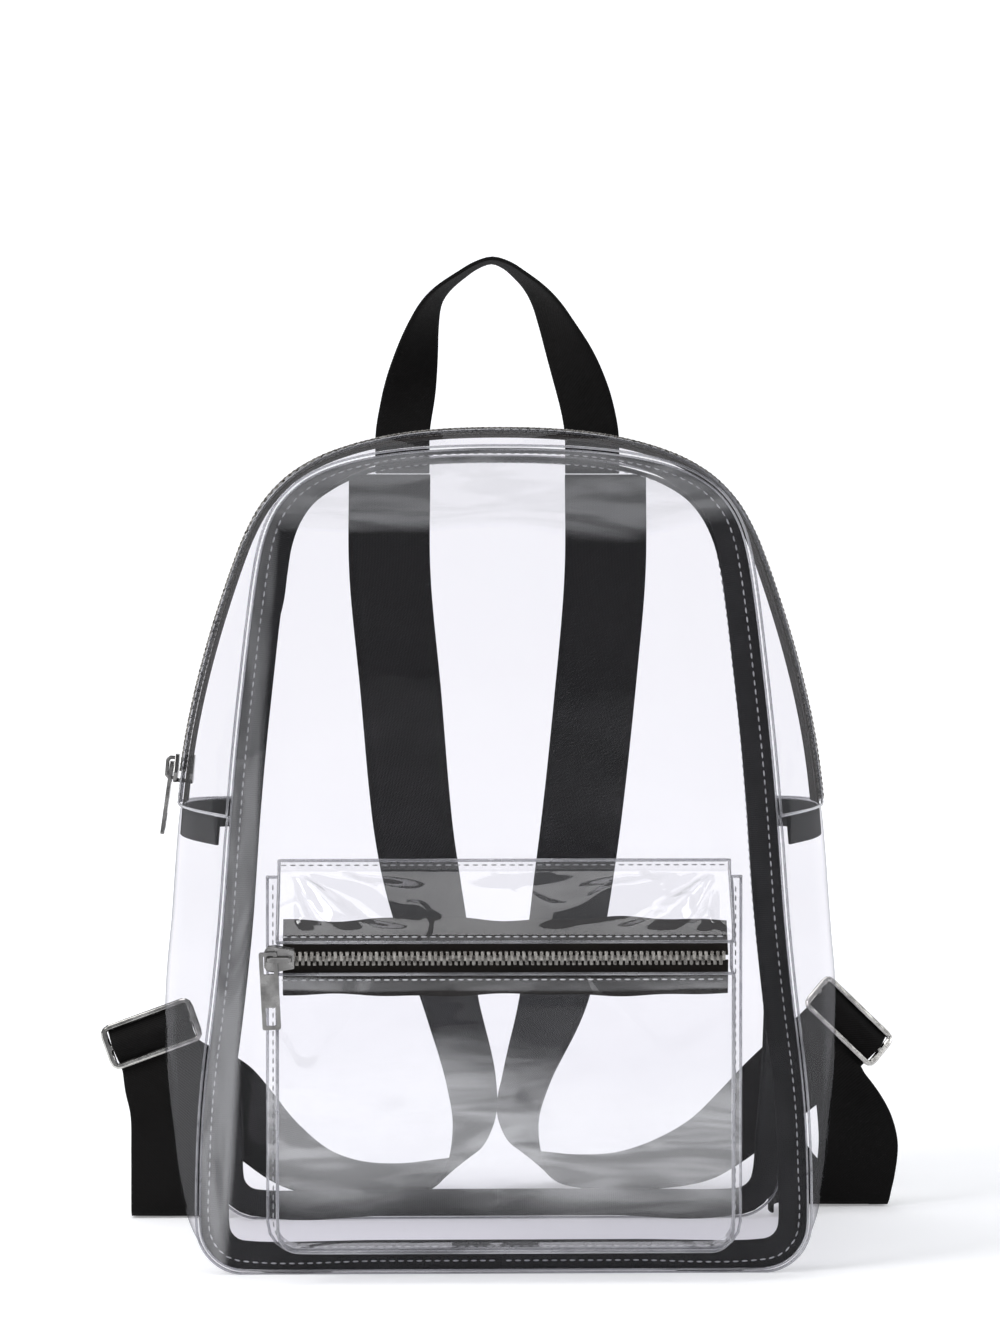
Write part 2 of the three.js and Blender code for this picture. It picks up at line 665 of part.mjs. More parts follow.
// A slider in its own frame: +X along the zip towards its leading end, +Z away from the bag, and
// z = 0 on the outer face of the chain.
const bridgeFloor = sliderRoom + sliderPlate;
function sliderSolid() {
  const nose = sliderLength / 2;
  const wide = sliderWidth / 2;
  const plan = new THREE.Shape([
    new THREE.Vector2(-nose, -wide * 0.74),
    new THREE.Vector2(nose * 0.3, -wide),
    new THREE.Vector2(nose * 0.8, -wide * 0.94),
    new THREE.Vector2(nose, -wide * 0.6),
    new THREE.Vector2(nose, wide * 0.6),
    new THREE.Vector2(nose * 0.8, wide * 0.94),
    new THREE.Vector2(nose * 0.3, wide),
    new THREE.Vector2(-nose, wide * 0.74),
  ]);
  const flat = { depth: sliderPlate, bevelEnabled: false };
  const under = chainThick + gap + zipTapeThick + sliderRoom;
  const topPlate = new THREE.ExtrudeGeometry(plan, flat).translate(0, 0, sliderRoom);
  const underPlate = new THREE.ExtrudeGeometry(plan, flat).translate(0, 0, -under - sliderPlate);
  const postHeight = under + sliderRoom + sliderPlate;
  const post = new THREE.BoxGeometry(postLength, postWidth, postHeight).translate(
    nose - postLength / 2,
    0,
    (sliderRoom - under) / 2,
  );
  return fuse([topPlate, underPlate, post, bridgeSolid()]);
}

// The arch on a slider, along the zip.
function bridgeSolid() {
  const foot = bridgeFloor - sliderPlate / 2;
  const rise = bridgeFloor + bridgeRise;
  const outerX = bridgeSpan / 2;
  const innerX = outerX - bridgeWire;
  const chamfer = bridgeWire;
  const arch = new THREE.Shape([
    new THREE.Vector2(-outerX, foot),
    new THREE.Vector2(-innerX, foot),
    new THREE.Vector2(-innerX, rise - bridgeWire - chamfer / 2),
    new THREE.Vector2(-innerX + chamfer / 2, rise - bridgeWire),
    new THREE.Vector2(innerX - chamfer / 2, rise - bridgeWire),
    new THREE.Vector2(innerX, rise - bridgeWire - chamfer / 2),
    new THREE.Vector2(innerX, foot),
    new THREE.Vector2(outerX, foot),
    new THREE.Vector2(outerX, rise - chamfer),
    new THREE.Vector2(outerX - chamfer, rise),
    new THREE.Vector2(-outerX + chamfer, rise),
    new THREE.Vector2(-outerX, rise - chamfer),
  ]);
  return new THREE.ExtrudeGeometry(arch, { depth: bridgeWidth, bevelEnabled: false })
    .translate(0, 0, -bridgeWidth / 2)
    .rotateX(Math.PI / 2);
}

// A pull as a flat ladder with two windows. It hangs along -Y from the origin, which is the middle
// of its top bar, and its thickness is along Z.
function pullSolid() {
  const rectangle = (target, x0, y0, x1, y1, corner) => {
    target.moveTo(x0 + corner, y0);
    target.lineTo(x1 - corner, y0);
    target.quadraticCurveTo(x1, y0, x1, y0 + corner);
    target.lineTo(x1, y1 - corner);
    target.quadraticCurveTo(x1, y1, x1 - corner, y1);
    target.lineTo(x0 + corner, y1);
    target.quadraticCurveTo(x0, y1, x0, y1 - corner);
    target.lineTo(x0, y0 + corner);
    target.quadraticCurveTo(x0, y0, x0 + corner, y0);
    return target;
  };
  const half = pullWidth / 2;
  const windowHalf = half - pullBar;
  const top = pullBar / 2;
  const bottom = top - pullLength;
  const shape = rectangle(new THREE.Shape(), -half, bottom, half, top, pullBar / 2);
  const upper = top - pullBar;
  const lower = bottom + pullBar;
  shape.holes = [
    rectangle(new THREE.Path(), -windowHalf, upper - pullWindow, windowHalf, upper, gap),
    rectangle(new THREE.Path(), -windowHalf, lower, windowHalf, lower + pullWindow, gap),
  ];
  return new THREE.ExtrudeGeometry(shape, {
    depth: pullThick,
    bevelEnabled: false,
    curveSegments: 2,
  }).translate(0, 0, -pullThick / 2);
}

// A band of webbing along rows that each give its middle and the way its width points.
function band(rows, width, steps) {
  const middles = new THREE.CatmullRomCurve3(rows.map((row) => row.at), false, "centripetal");
  const widths = new THREE.CatmullRomCurve3(rows.map((row) => row.across), false, "centripetal");
  const near = [];
  const far = [];
  for (let k = 0; k <= steps; k++) {
    const at = middles.getPoint(k / steps);
    const along = middles.getTangent(k / steps);
    const across = widths.getPoint(k / steps).normalize();
    const face = along.clone().cross(across).setLength(webbingThick / 2);
    const reach = across.clone().multiplyScalar(width / 2);
    near.push([at.clone().sub(reach).add(face), at.clone().add(reach).add(face)]);
    far.push([at.clone().sub(reach).sub(face), at.clone().add(reach).sub(face)]);
  }
  return sheet(near, far);
}

const webbingPlane = backFace + gap + webbingThick / 2;
const sewnHeight = panelHeight - strapDrop; // lower ends of the handle, just above the straps

function handle() {
  const spot = (up, out, turn, side) => ({
    at: vec(
      side * out * (handleSpread / 2),
      webbingPlane - handleForward * up ** 3,
      sewnHeight + up * handleRise,
    ),
    across: vec(-side * Math.cos(rad(turn)), Math.sin(rad(turn)), 0),
  });
  const rows = [
    ...handleRows.map((row) => spot(row.up, row.left, row.leftTurn, left)),
    spot(1, handleTopLeft, 90, left),
    ...handleRows.map((row) => spot(row.up, row.right, row.rightTurn, right)).reverse(),
  ];
  return band(rows, handleWidth, 40);
}

// A table row of a strap as a place and the way its width points, on one side of the bag.
function strapSpot(row, side) {
  const yaw = rad(row.yaw ?? 0);
  const lift = rad(row.lift ?? 0);
  return {
    at: vec(
      (side * row.out * panelWidth) / 2,
      webbingPlane + row.back * loopDepth,
      row.up * panelHeight,
    ),
    across: vec(
      -side * Math.cos(yaw) * Math.cos(lift),
      Math.sin(yaw) * Math.cos(lift),
      Math.sin(lift),
    ),
  };
}

// A buckle's own axes: inward along its bars, up through it, and out of its front.
function buckleSpot(name, side) {
  const place = bucklePlaces[name];
  const roll = rad(place.roll);
  const pitch = rad(place.pitch);
  const inward = vec(-side * Math.cos(roll), 0, Math.sin(roll));
  const flatUp = vec(side * Math.sin(roll), 0, Math.cos(roll));
  const up = flatUp.clone().multiplyScalar(Math.cos(pitch)).add(vec(0, Math.sin(pitch), 0));
  const front = flatUp.multiplyScalar(Math.sin(pitch)).sub(vec(0, Math.cos(pitch), 0));
  return { at: strapSpot(place, side).at, inward, up, front };
}

const barRound = Math.hypot(buckleThick / 2, buckleBar / 4); // a bar's reach from its middle
const besideBar = barRound + webbingRoom + webbingThick / 2;
const outerBar = (buckleHeight - buckleBar) / 2; // an outer bar's middle from the centre bar's

function buckleRow(spot, rise, out) {
  return {
    at: spot.at.clone().addScaledVector(spot.up, rise).addScaledVector(spot.front, out),
    across: spot.inward.clone(),
  };
}

// The lower webbing passes behind the bottom bar, over the centre bar and behind the top bar.
function lowerStrap(name, side) {
  const spot = buckleSpot(name, side);
  const lean = Math.asin((2 * besideBar) / outerBar);
  const off = besideBar * Math.sin(lean);
  const low = besideBar * Math.cos(lean);
  const rows = [
    ...lowerStrapRows[name].map((row) => strapSpot(row, side)),
    buckleRow(spot, -outerBar - buckleBar, -besideBar),
    buckleRow(spot, -outerBar, -besideBar),
    buckleRow(spot, -outerBar + off, -low),
    buckleRow(spot, -off, low),
    buckleRow(spot, 0, besideBar),
    buckleRow(spot, off, low),
    buckleRow(spot, outerBar - off, -low),
    buckleRow(spot, outerBar, -besideBar),
    buckleRow(spot, outerBar + buckleBar / 2, -besideBar),
  ];
  return band(rows, strapWidth, 66);
}

// A shoulder strap ends flat behind the lower webbing, which it is sewn to behind the buckle.
function shoulderStrap(name, side) {
  const spot = buckleSpot(name, side);
  const behind = besideBar + webbingThick + 2 * webbingRoom;
  const sewn = { ...strapRows[name][0], back: 0, up: (sewnHeight - gap) / panelHeight };
  const rows = [
    strapSpot(sewn, side),
    ...strapRows[name].map((row) => strapSpot(row, side)),
    buckleRow(spot, -outerBar, -behind),
    buckleRow(spot, 0, -behind),
    buckleRow(spot, outerBar + buckleBar / 2, -behind),
  ];
  return band(rows, strapWidth, 56);
}

// A slide buckle as a flat frame with rounded edges, a centre bar and two windows.
function buckleSolid() {
  const inset = buckleBevel;
  const rounded = (target, x, y0, y1, corner) => {
    target.moveTo(-x + corner, y0);
    target.lineTo(x - corner, y0);
    target.quadraticCurveTo(x, y0, x, y0 + corner);
    target.lineTo(x, y1 - corner);
    target.quadraticCurveTo(x, y1, x - corner, y1);
    target.lineTo(-x + corner, y1);
    target.quadraticCurveTo(-x, y1, -x, y1 - corner);
    target.lineTo(-x, y0 + corner);
    target.quadraticCurveTo(-x, y0, -x + corner, y0);
    return target;
  };
  const x = buckleLength / 2 - inset;
  const y = buckleHeight / 2 - inset;
  const shape = rounded(new THREE.Shape(), x, -y, y, buckleCorner - inset);
  const windowX = strapWidth / 2 + webbingRoom + inset;
  const near = buckleBar / 2 - inset;
  const far = buckleHeight / 2 - buckleBar + inset;
  shape.holes = [
    rounded(new THREE.Path(), windowX, near, far, 2 * inset),
    rounded(new THREE.Path(), windowX, -far, -near, 2 * inset),
  ];
  return new THREE.ExtrudeGeometry(shape, {
    depth: buckleThick - 2 * buckleBevel,
    bevelEnabled: true,
    bevelThickness: buckleBevel,
    bevelSize: buckleBevel,
    bevelSegments: 1,
    curveSegments: 3,
  }).translate(0, 0, buckleBevel - buckleThick / 2);
}

const bag = new THREE.Group();

function add(name, geometry, material, parent = bag) {
  const mesh = new THREE.Mesh(geometry, material);
  mesh.name = name;
  parent.add(mesh);
  return mesh;
}

// A group at a place with its own X and Z axes.
function framed(at, xAxis, zAxis) {
  const group = new THREE.Group();
  const yAxis = zAxis.clone().cross(xAxis);
  group.applyMatrix4(new THREE.Matrix4().makeBasis(xAxis, yAxis, zAxis).setPosition(at));
  bag.add(group);
  return group;
}

add("front_panel", frontPanel(), clearSheet);
add("back_panel", backPanel(), clearSheet);
add("lower_gusset", lowerGusset(), clearSheet);
add("zip_strip_front", zipStrip(-1), clearSheet);
add("zip_strip_back", zipStrip(1), clearSheet);
add("binding_front", panelBinding(-1), bindingTape);
add("binding_back", panelBinding(1), bindingTape);
add("binding_cross_left", crossBinding(left), bindingTape);
add("binding_cross_right", crossBinding(right), bindingTape);
add("main_zip_tape_front", bagZipTape(-1), zipFabric);
add("main_zip_tape_back", bagZipTape(1), zipFabric);
add("main_zip_teeth", bagChain(), zipMetal);

add("pocket_front", pocketFront(), clearSheet);
add("pocket_wall", pocketWall(), clearSheet);
add("pocket_top", pocketTopStrip(), clearSheet);
add("pocket_tape_lower", pocketTapeLower(), zipFabric);
add("pocket_tape_upper", pocketTapeUpper(), zipFabric);
add("pocket_zip_teeth", pocketChain(), zipMetal);

add("handle", handle(), blackWebbing);
add("strap_left", shoulderStrap("left", left), blackWebbing);
add("strap_right", shoulderStrap("right", right), blackWebbing);
add("strap_lower_left", lowerStrap("left", left), blackWebbing);
add("strap_lower_right", lowerStrap("right", right), blackWebbing);

for (const [name, side] of [
  ["left", left],
  ["right", right],
]) {
  const spot = buckleSpot(name, side);
  const frame = framed(spot.at, spot.inward.clone().multiplyScalar(-side), spot.front);
  add("buckle_" + name, buckleSolid(), zipMetal, frame);
}

// The bag's slider looks down the left side, and its pull hangs from the bridge along the zip.
const chainProud = chainThick - (tapeSink - gap);
const mainSpot = mainSliderSpot();
const mainFrame = framed(
  mainSpot.at.clone().addScaledVector(mainSpot.out, chainProud),
  mainSpot.along,
  mainSpot.out,
);
add("main_slider", sliderSolid(), zipMetal, mainFrame);
const pullHeight = bridgeFloor + (bridgeRise - bridgeWire) / 2;
const mainPull = add("main_pull", pullSolid(), zipMetal, mainFrame);
mainPull.position.set(bridgeWire + pullBar - bridgeSpan / 2, 0, pullHeight);
mainPull.rotation.set(0, -rad(mainPullTilt), Math.PI / 2);

// The pocket's slider looks left, and its pull hangs down from the bridge's leading leg.
const pocketFrame = framed(
  vec(pocketSliderX, inFront(pocketTapeDepth + gap + chainThick), pocketZip),
  vec(-1, 0, 0),
  vec(0, -1, 0),
);
add("pocket_slider", sliderSolid(), zipMetal, pocketFrame);
const legX = bridgeSpan / 2 - bridgeWire / 2;
const pocketPull = add("pocket_pull", pullSolid(), zipMetal);
pocketPull.geometry.translate(0, bridgeWidth / 2 + gap + pullBar / 2, 0);
pocketPull.position.set(
  pocketSliderX - legX,
  inFront(pocketTapeDepth + gap + chainThick + pullHeight),
  pocketZip,
);
pocketPull.rotation.set(Math.PI / 2, 0, rad(pocketPullLean), "YXZ");

export default bag;
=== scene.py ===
# Looks for the clear backpack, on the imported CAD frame. Metres, +Z up, pocket towards -Y.
import json
import math

import bmesh
import bpy
import numpy as np
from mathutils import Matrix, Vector, kdtree

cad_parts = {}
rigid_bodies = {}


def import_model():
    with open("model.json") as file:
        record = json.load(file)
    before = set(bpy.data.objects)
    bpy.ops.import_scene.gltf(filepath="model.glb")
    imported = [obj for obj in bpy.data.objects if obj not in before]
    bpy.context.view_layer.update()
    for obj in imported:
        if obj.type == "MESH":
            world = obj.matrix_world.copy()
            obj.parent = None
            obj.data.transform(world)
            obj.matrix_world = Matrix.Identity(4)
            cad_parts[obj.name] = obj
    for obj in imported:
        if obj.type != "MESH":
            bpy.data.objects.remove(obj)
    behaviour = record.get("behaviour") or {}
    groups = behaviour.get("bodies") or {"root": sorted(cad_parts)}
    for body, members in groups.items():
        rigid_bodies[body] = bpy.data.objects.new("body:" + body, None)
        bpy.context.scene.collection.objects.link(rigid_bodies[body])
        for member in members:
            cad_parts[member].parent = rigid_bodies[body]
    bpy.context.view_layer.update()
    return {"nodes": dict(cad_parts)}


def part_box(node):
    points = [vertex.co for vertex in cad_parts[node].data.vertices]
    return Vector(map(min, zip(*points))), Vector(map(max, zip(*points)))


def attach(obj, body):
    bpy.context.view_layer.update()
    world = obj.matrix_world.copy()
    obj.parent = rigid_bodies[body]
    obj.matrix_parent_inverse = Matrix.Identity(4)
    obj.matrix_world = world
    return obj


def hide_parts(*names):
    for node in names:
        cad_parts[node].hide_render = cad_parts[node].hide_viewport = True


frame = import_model()
nodes = frame["nodes"]
scene = bpy.context.scene
print("frame loaded,", len(nodes), "nodes")


# Tools

def deselectAll():
    for thing in bpy.context.view_layer.objects:
        thing.select_set(False)


def activate(piece):
    deselectAll()
    piece.select_set(True)
    bpy.context.view_layer.objects.active = piece


def applyModifier(piece, modifier):
    activate(piece)
    bpy.ops.object.modifier_apply(modifier=modifier.name)


def finishPiece(piece, body, material, slot, *replaced):
    # every new piece rides, takes its material and stands for its CAD nodes, which are hidden
    piece.data.materials.clear()
    piece.data.materials.append(material)
    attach(piece, body)
    if replaced:
        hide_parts(*replaced)
    return piece


# Shader helpers

class Nodes:
    # short way to add and link shader nodes in one tree
    def __init__(self, tree):
        self.tree = tree

    def add(self, kind, **inputs):
        node = self.tree.nodes.new(kind)
        for name, value in inputs.items():
            self.feed(node, name.replace("_", " "), value)
        return node

    def feed(self, node, name, value):
        socket = node.inputs[name]
        if isinstance(value, bpy.types.NodeSocket):
            self.tree.links.new(value, socket)
        else:
            socket.default_value = value

    def math(self, operation, *values):
        node = self.tree.nodes.new("ShaderNodeMath")
        node.operation = operation
        for index, value in enumerate(values):
            self.feed(node, index, value)
        return node.outputs[0]

    def ramp(self, value, low, high, outLow=0.0, outHigh=1.0):
        node = self.tree.nodes.new("ShaderNodeMapRange")
        node.interpolation_type = "SMOOTHSTEP"
        for index, item in enumerate([value, low, high, outLow, outHigh]):
            self.feed(node, index, item)
        return node.outputs[0]

    def mixColor(self, factor, first, second):
        node = self.tree.nodes.new("ShaderNodeMix")
        node.data_type = "RGBA"
        self.feed(node, 0, factor)
        self.feed(node, 6, first)
        self.feed(node, 7, second)
        return node.outputs[2]


def newGroup(name, inputs, outputs):
    tree = bpy.data.node_groups.new(name, "ShaderNodeTree")
    for label, kind, value in inputs:
        socket = tree.interface.new_socket(label, in_out="INPUT", socket_type=kind)
        if value is not None:
            socket.default_value = value
    for label, kind in outputs:
        tree.interface.new_socket(label, in_out="OUTPUT", socket_type=kind)
    work = Nodes(tree)
    return tree, work, work.add("NodeGroupInput"), work.add("NodeGroupOutput")


def buildWeaveGroup():
    # threads over and under in a twill, from a surface vector in metres
    tree, work, into, out = newGroup(
        "weave",
        [("Vector", "NodeSocketVector", None), ("Pitch", "NodeSocketFloat", 0.001),
         ("Slant", "NodeSocketFloat", 1.0)],
        [("Height", "NodeSocketFloat"), ("Thread", "NodeSocketFloat")],
    )
    split = work.add("ShaderNodeSeparateXYZ", Vector=into.outputs["Vector"])
    turn = 2 * math.pi
    across = work.math("DIVIDE", split.outputs[0], into.outputs["Pitch"])
    along = work.math("DIVIDE", split.outputs[1], into.outputs["Pitch"])
    slanted = work.math("ADD", along, work.math("MULTIPLY", across, into.outputs["Slant"]))
    rib = work.math("ABSOLUTE", work.math("SINE", work.math("MULTIPLY", slanted, turn / 2)))
    warp = work.math("ABSOLUTE", work.math("SINE", work.math("MULTIPLY", across, turn)))
    height = work.math("ADD", work.math("MULTIPLY", rib, 0.65), work.math("MULTIPLY", warp, 0.35))
    fuzz = work.add("ShaderNodeTexNoise", Vector=into.outputs["Vector"], Scale=5000.0, Detail=2.0)
    rough = work.math("ADD", height, work.math("MULTIPLY", fuzz.outputs[0], 0.15))
    work.feed(out, "Height", rough)
    work.feed(out, "Thread", work.ramp(height, 0.15, 0.9))
    return tree


def buildWearGroup():
    # broad mottling and fine grain that several finishes share
    tree, work, into, out = newGroup(
        "wear",
        [("Vector", "NodeSocketVector", None), ("Patch", "NodeSocketFloat", 40.0),
         ("Grain", "NodeSocketFloat", 1500.0)],
        [("Mottle", "NodeSocketFloat"), ("Fine", "NodeSocketFloat")],
    )
    patch = work.add("ShaderNodeTexNoise", Vector=into.outputs["Vector"],
                     Scale=into.outputs["Patch"], Detail=4.0, Roughness=0.6)
    grain = work.add("ShaderNodeTexNoise", Vector=into.outputs["Vector"],
                     Scale=into.outputs["Grain"], Detail=2.0)
    work.feed(out, "Mottle", work.ramp(patch.outputs[0], 0.3, 0.7))
    work.feed(out, "Fine", grain.outputs[0])
    return tree


def buildWrinkleGroup():
    # soft creases of a clear sheet: long waves, warped by slower ones, and a fine ripple
    tree, work, into, out = newGroup(
        "sheetWrinkle",
        [("Vector", "NodeSocketVector", None), ("Scale", "NodeSocketFloat", 14.0),
         ("Crease", "NodeSocketFloat", 0.5)],
        [("Height", "NodeSocketFloat"), ("Crease Mask", "NodeSocketFloat")],
    )
    broad = work.add("ShaderNodeTexNoise", Vector=into.outputs["Vector"],
                     Scale=into.outputs["Scale"], Detail=1.5, Roughness=0.35, Distortion=0.8)
    ridge = work.math("ABSOLUTE", work.math("SUBTRACT", broad.outputs[0], 0.5))
    crease = work.ramp(ridge, 0.0, 0.06, 1.0, 0.0)
    ripple = work.add("ShaderNodeTexNoise", Vector=into.outputs["Vector"],
                      Scale=work.math("MULTIPLY", into.outputs["Scale"], 5.0), Detail=1.0)
    height = work.math("ADD", broad.outputs[0], work.math("MULTIPLY", ripple.outputs[0], 0.02))
    creased = work.math("ADD", height, work.math(
        "MULTIPLY", crease, work.math("MULTIPLY", into.outputs["Crease"], 0.12)))
    work.feed(out, "Height", creased)
    work.feed(out, "Crease Mask", crease)
    return tree


def buildPaintedReflectionGroup():
    # a painted reflection: a pale streaky band between two heights, painted where a curved sheet
    # would catch a lamp
    tree, work, into, out = newGroup(
        "paintedReflectionBand",
        [("Vector", "NodeSocketVector", None), ("Low", "NodeSocketFloat", 0.0),
         ("High", "NodeSocketFloat", 0.1), ("Soft", "NodeSocketFloat", 0.01),
         ("Wave", "NodeSocketFloat", 0.02)],
        [("Mask", "NodeSocketFloat")],
    )
    split = work.add("ShaderNodeSeparateXYZ", Vector=into.outputs["Vector"])
    slow = work.add("ShaderNodeTexNoise", Vector=into.outputs["Vector"], Scale=14.0, Detail=1.0)
    sway = work.math("MULTIPLY", work.math("SUBTRACT", slow.outputs[0], 0.5), into.outputs["Wave"])
    height = work.math("ADD", split.outputs[2], sway)
    low, high, soft = (into.outputs[label] for label in ("Low", "High", "Soft"))
    rise = work.ramp(height, low, work.math("ADD", low, soft))
    fall = work.ramp(height, work.math("SUBTRACT", high, soft), high, 1.0, 0.0)
    drawn = work.add("ShaderNodeMapping", Vector=into.outputs["Vector"], Scale=(1.0, 1.0, 5.0))
    streak = work.add("ShaderNodeTexNoise", Vector=drawn.outputs[0], Scale=18.0, Detail=2.0,
                      Distortion=1.5)
    uneven = work.ramp(streak.outputs[0], 0.35, 0.65, 0.55, 1.0)
    work.feed(out, "Mask", work.math("MULTIPLY", work.math("MULTIPLY", rise, fall), uneven))
    return tree


weaveGroup = buildWeaveGroup()
wearGroup = buildWearGroup()
wrinkleGroup = buildWrinkleGroup()
paintedReflectionGroup = buildPaintedReflectionGroup()


def newMaterial(name):
    material = bpy.data.materials.new(name)
    material.use_nodes = True
    material.node_tree.nodes.clear()
    work = Nodes(material.node_tree)
    output = work.add("ShaderNodeOutputMaterial")
    return material, work, output


def useGroup(work, group, **inputs):
    node = work.tree.nodes.new("ShaderNodeGroup")
    node.node_tree = group
    for name, value in inputs.items():
        work.feed(node, name, value)
    return node


def clothMaterial(name, settings):
    material, work, output = newMaterial(name)
    place = work.add("ShaderNodeTexCoord")
    weave = useGroup(work, weaveGroup, Vector=place.outputs["UV"], Pitch=settings["pitch"],
                     Slant=settings["slant"])
    wear = useGroup(work, wearGroup, Vector=place.outputs["Object"], Patch=settings["patch"])
    shade = work.mixColor(weave.outputs["Thread"], settings["dark"], settings["light"])
    tone = work.mixColor(work.math("MULTIPLY", wear.outputs["Mottle"], settings["mottle"]),
                         shade, settings["worn"])
    bump = work.add("ShaderNodeBump", Strength=settings["bump"], Distance=0.0004,
                    Height=weave.outputs["Height"])
    cloth = work.add("ShaderNodeBsdfPrincipled", Base_Color=tone, Normal=bump.outputs[0],
                     Roughness=work.ramp(wear.outputs["Fine"], 0.3, 0.7, *settings["roughness"]))
    cloth.inputs["Sheen Weight"].default_value = settings["sheen"]
    cloth.inputs["Sheen Roughness"].default_value = 0.5
    cloth.inputs["Specular IOR Level"].default_value = settings["gloss"]
    work.feed(output, "Surface", cloth.outputs[0])
    return material


webbingLook = clothMaterial("blackWebbing", {
    "pitch": 0.0011, "slant": 1.0, "patch": 30.0, "mottle": 0.35, "bump": 0.3, "sheen": 0.015,
    "gloss": 0.08,
    "dark": (0.002, 0.0019, 0.0018, 1), "light": (0.008, 0.0075, 0.0072, 1),
    "worn": (0.011, 0.0105, 0.0105, 1), "roughness": (0.72, 0.92)})
bindingLook = clothMaterial("foldedBinding", {
    "pitch": 0.0007, "slant": 0.0, "patch": 60.0, "mottle": 0.4, "bump": 0.2, "sheen": 0.03,
    "gloss": 0.12,
    "dark": (0.006, 0.006, 0.0062, 1), "light": (0.02, 0.02, 0.021, 1),
    "worn": (0.032, 0.032, 0.034, 1), "roughness": (0.6, 0.85)})
zipTapeLook = clothMaterial("zipTapeCloth", {
    "pitch": 0.0008, "slant": 2.0, "patch": 80.0, "mottle": 0.3, "bump": 0.45, "sheen": 0.02,
    "gloss": 0.1,
    "dark": (0.005, 0.0042, 0.0038, 1), "light": (0.02, 0.0165, 0.0145, 1),
    "worn": (0.03, 0.026, 0.023, 1), "roughness": (0.7, 0.9)})


def threadMaterial(name, dark, light):
    material, work, output = newMaterial(name)
    place = work.add("ShaderNodeTexCoord")
    wear = useGroup(work, wearGroup, Vector=place.outputs["Object"], Patch=300.0, Grain=4000.0)
    tone = work.mixColor(wear.outputs["Mottle"], dark, light)
    bump = work.add("ShaderNodeBump", Strength=0.3, Distance=0.0001, Height=wear.outputs["Fine"])
    thread = work.add("ShaderNodeBsdfPrincipled", Base_Color=tone, Normal=bump.outputs[0],
                      Roughness=work.ramp(wear.outputs["Fine"], 0.3, 0.7, 0.5, 0.7))
    work.feed(output, "Surface", thread.outputs[0])
    return material


threadLook = threadMaterial("paleThread", (0.34, 0.34, 0.36, 1), (0.62, 0.62, 0.64, 1))
clearThreadLook = threadMaterial("greyThread", (0.16, 0.16, 0.17, 1), (0.36, 0.36, 0.38, 1))


def metalMaterial(name, settings):
    material, work, output = newMaterial(name)
    place = work.add("ShaderNodeTexCoord")
    wear = useGroup(work, wearGroup, Vector=place.outputs["Object"], Patch=settings["patch"],
                    Grain=settings["grain"])
    tone = work.mixColor(wear.outputs["Mottle"], settings["dark"], settings["light"])
    bump = work.add("ShaderNodeBump", Strength=settings["bump"], Distance=0.0001,
                    Height=wear.outputs["Fine"])
    metal = work.add("ShaderNodeBsdfPrincipled", Base_Color=tone, Normal=bump.outputs[0],
                     Roughness=work.ramp(wear.outputs["Mottle"], 0.0, 1.0, *settings["roughness"]))
    metal.inputs["Metallic"].default_value = 1.0
    work.feed(output, "Surface", metal.outputs[0])
    return material


silverLook = metalMaterial("platedSilver", {
    "patch": 160.0, "grain": 2500.0, "bump": 0.06, "roughness": (0.16, 0.28),
    "dark": (0.15, 0.147, 0.143, 1), "light": (0.36, 0.353, 0.345, 1)})
buckleLook = metalMaterial("brightWire", {
    "patch": 160.0, "grain": 2500.0, "bump": 0.06, "roughness": (0.14, 0.24),
    "dark": (0.42, 0.41, 0.39, 1), "light": (0.7, 0.69, 0.66, 1)})
toothLook = metalMaterial("zipTeethMetal", {
    "patch": 500.0, "grain": 3000.0, "bump": 0.1, "roughness": (0.22, 0.4),
    "dark": (0.14, 0.13, 0.12, 1), "light": (0.4, 0.385, 0.36, 1)})


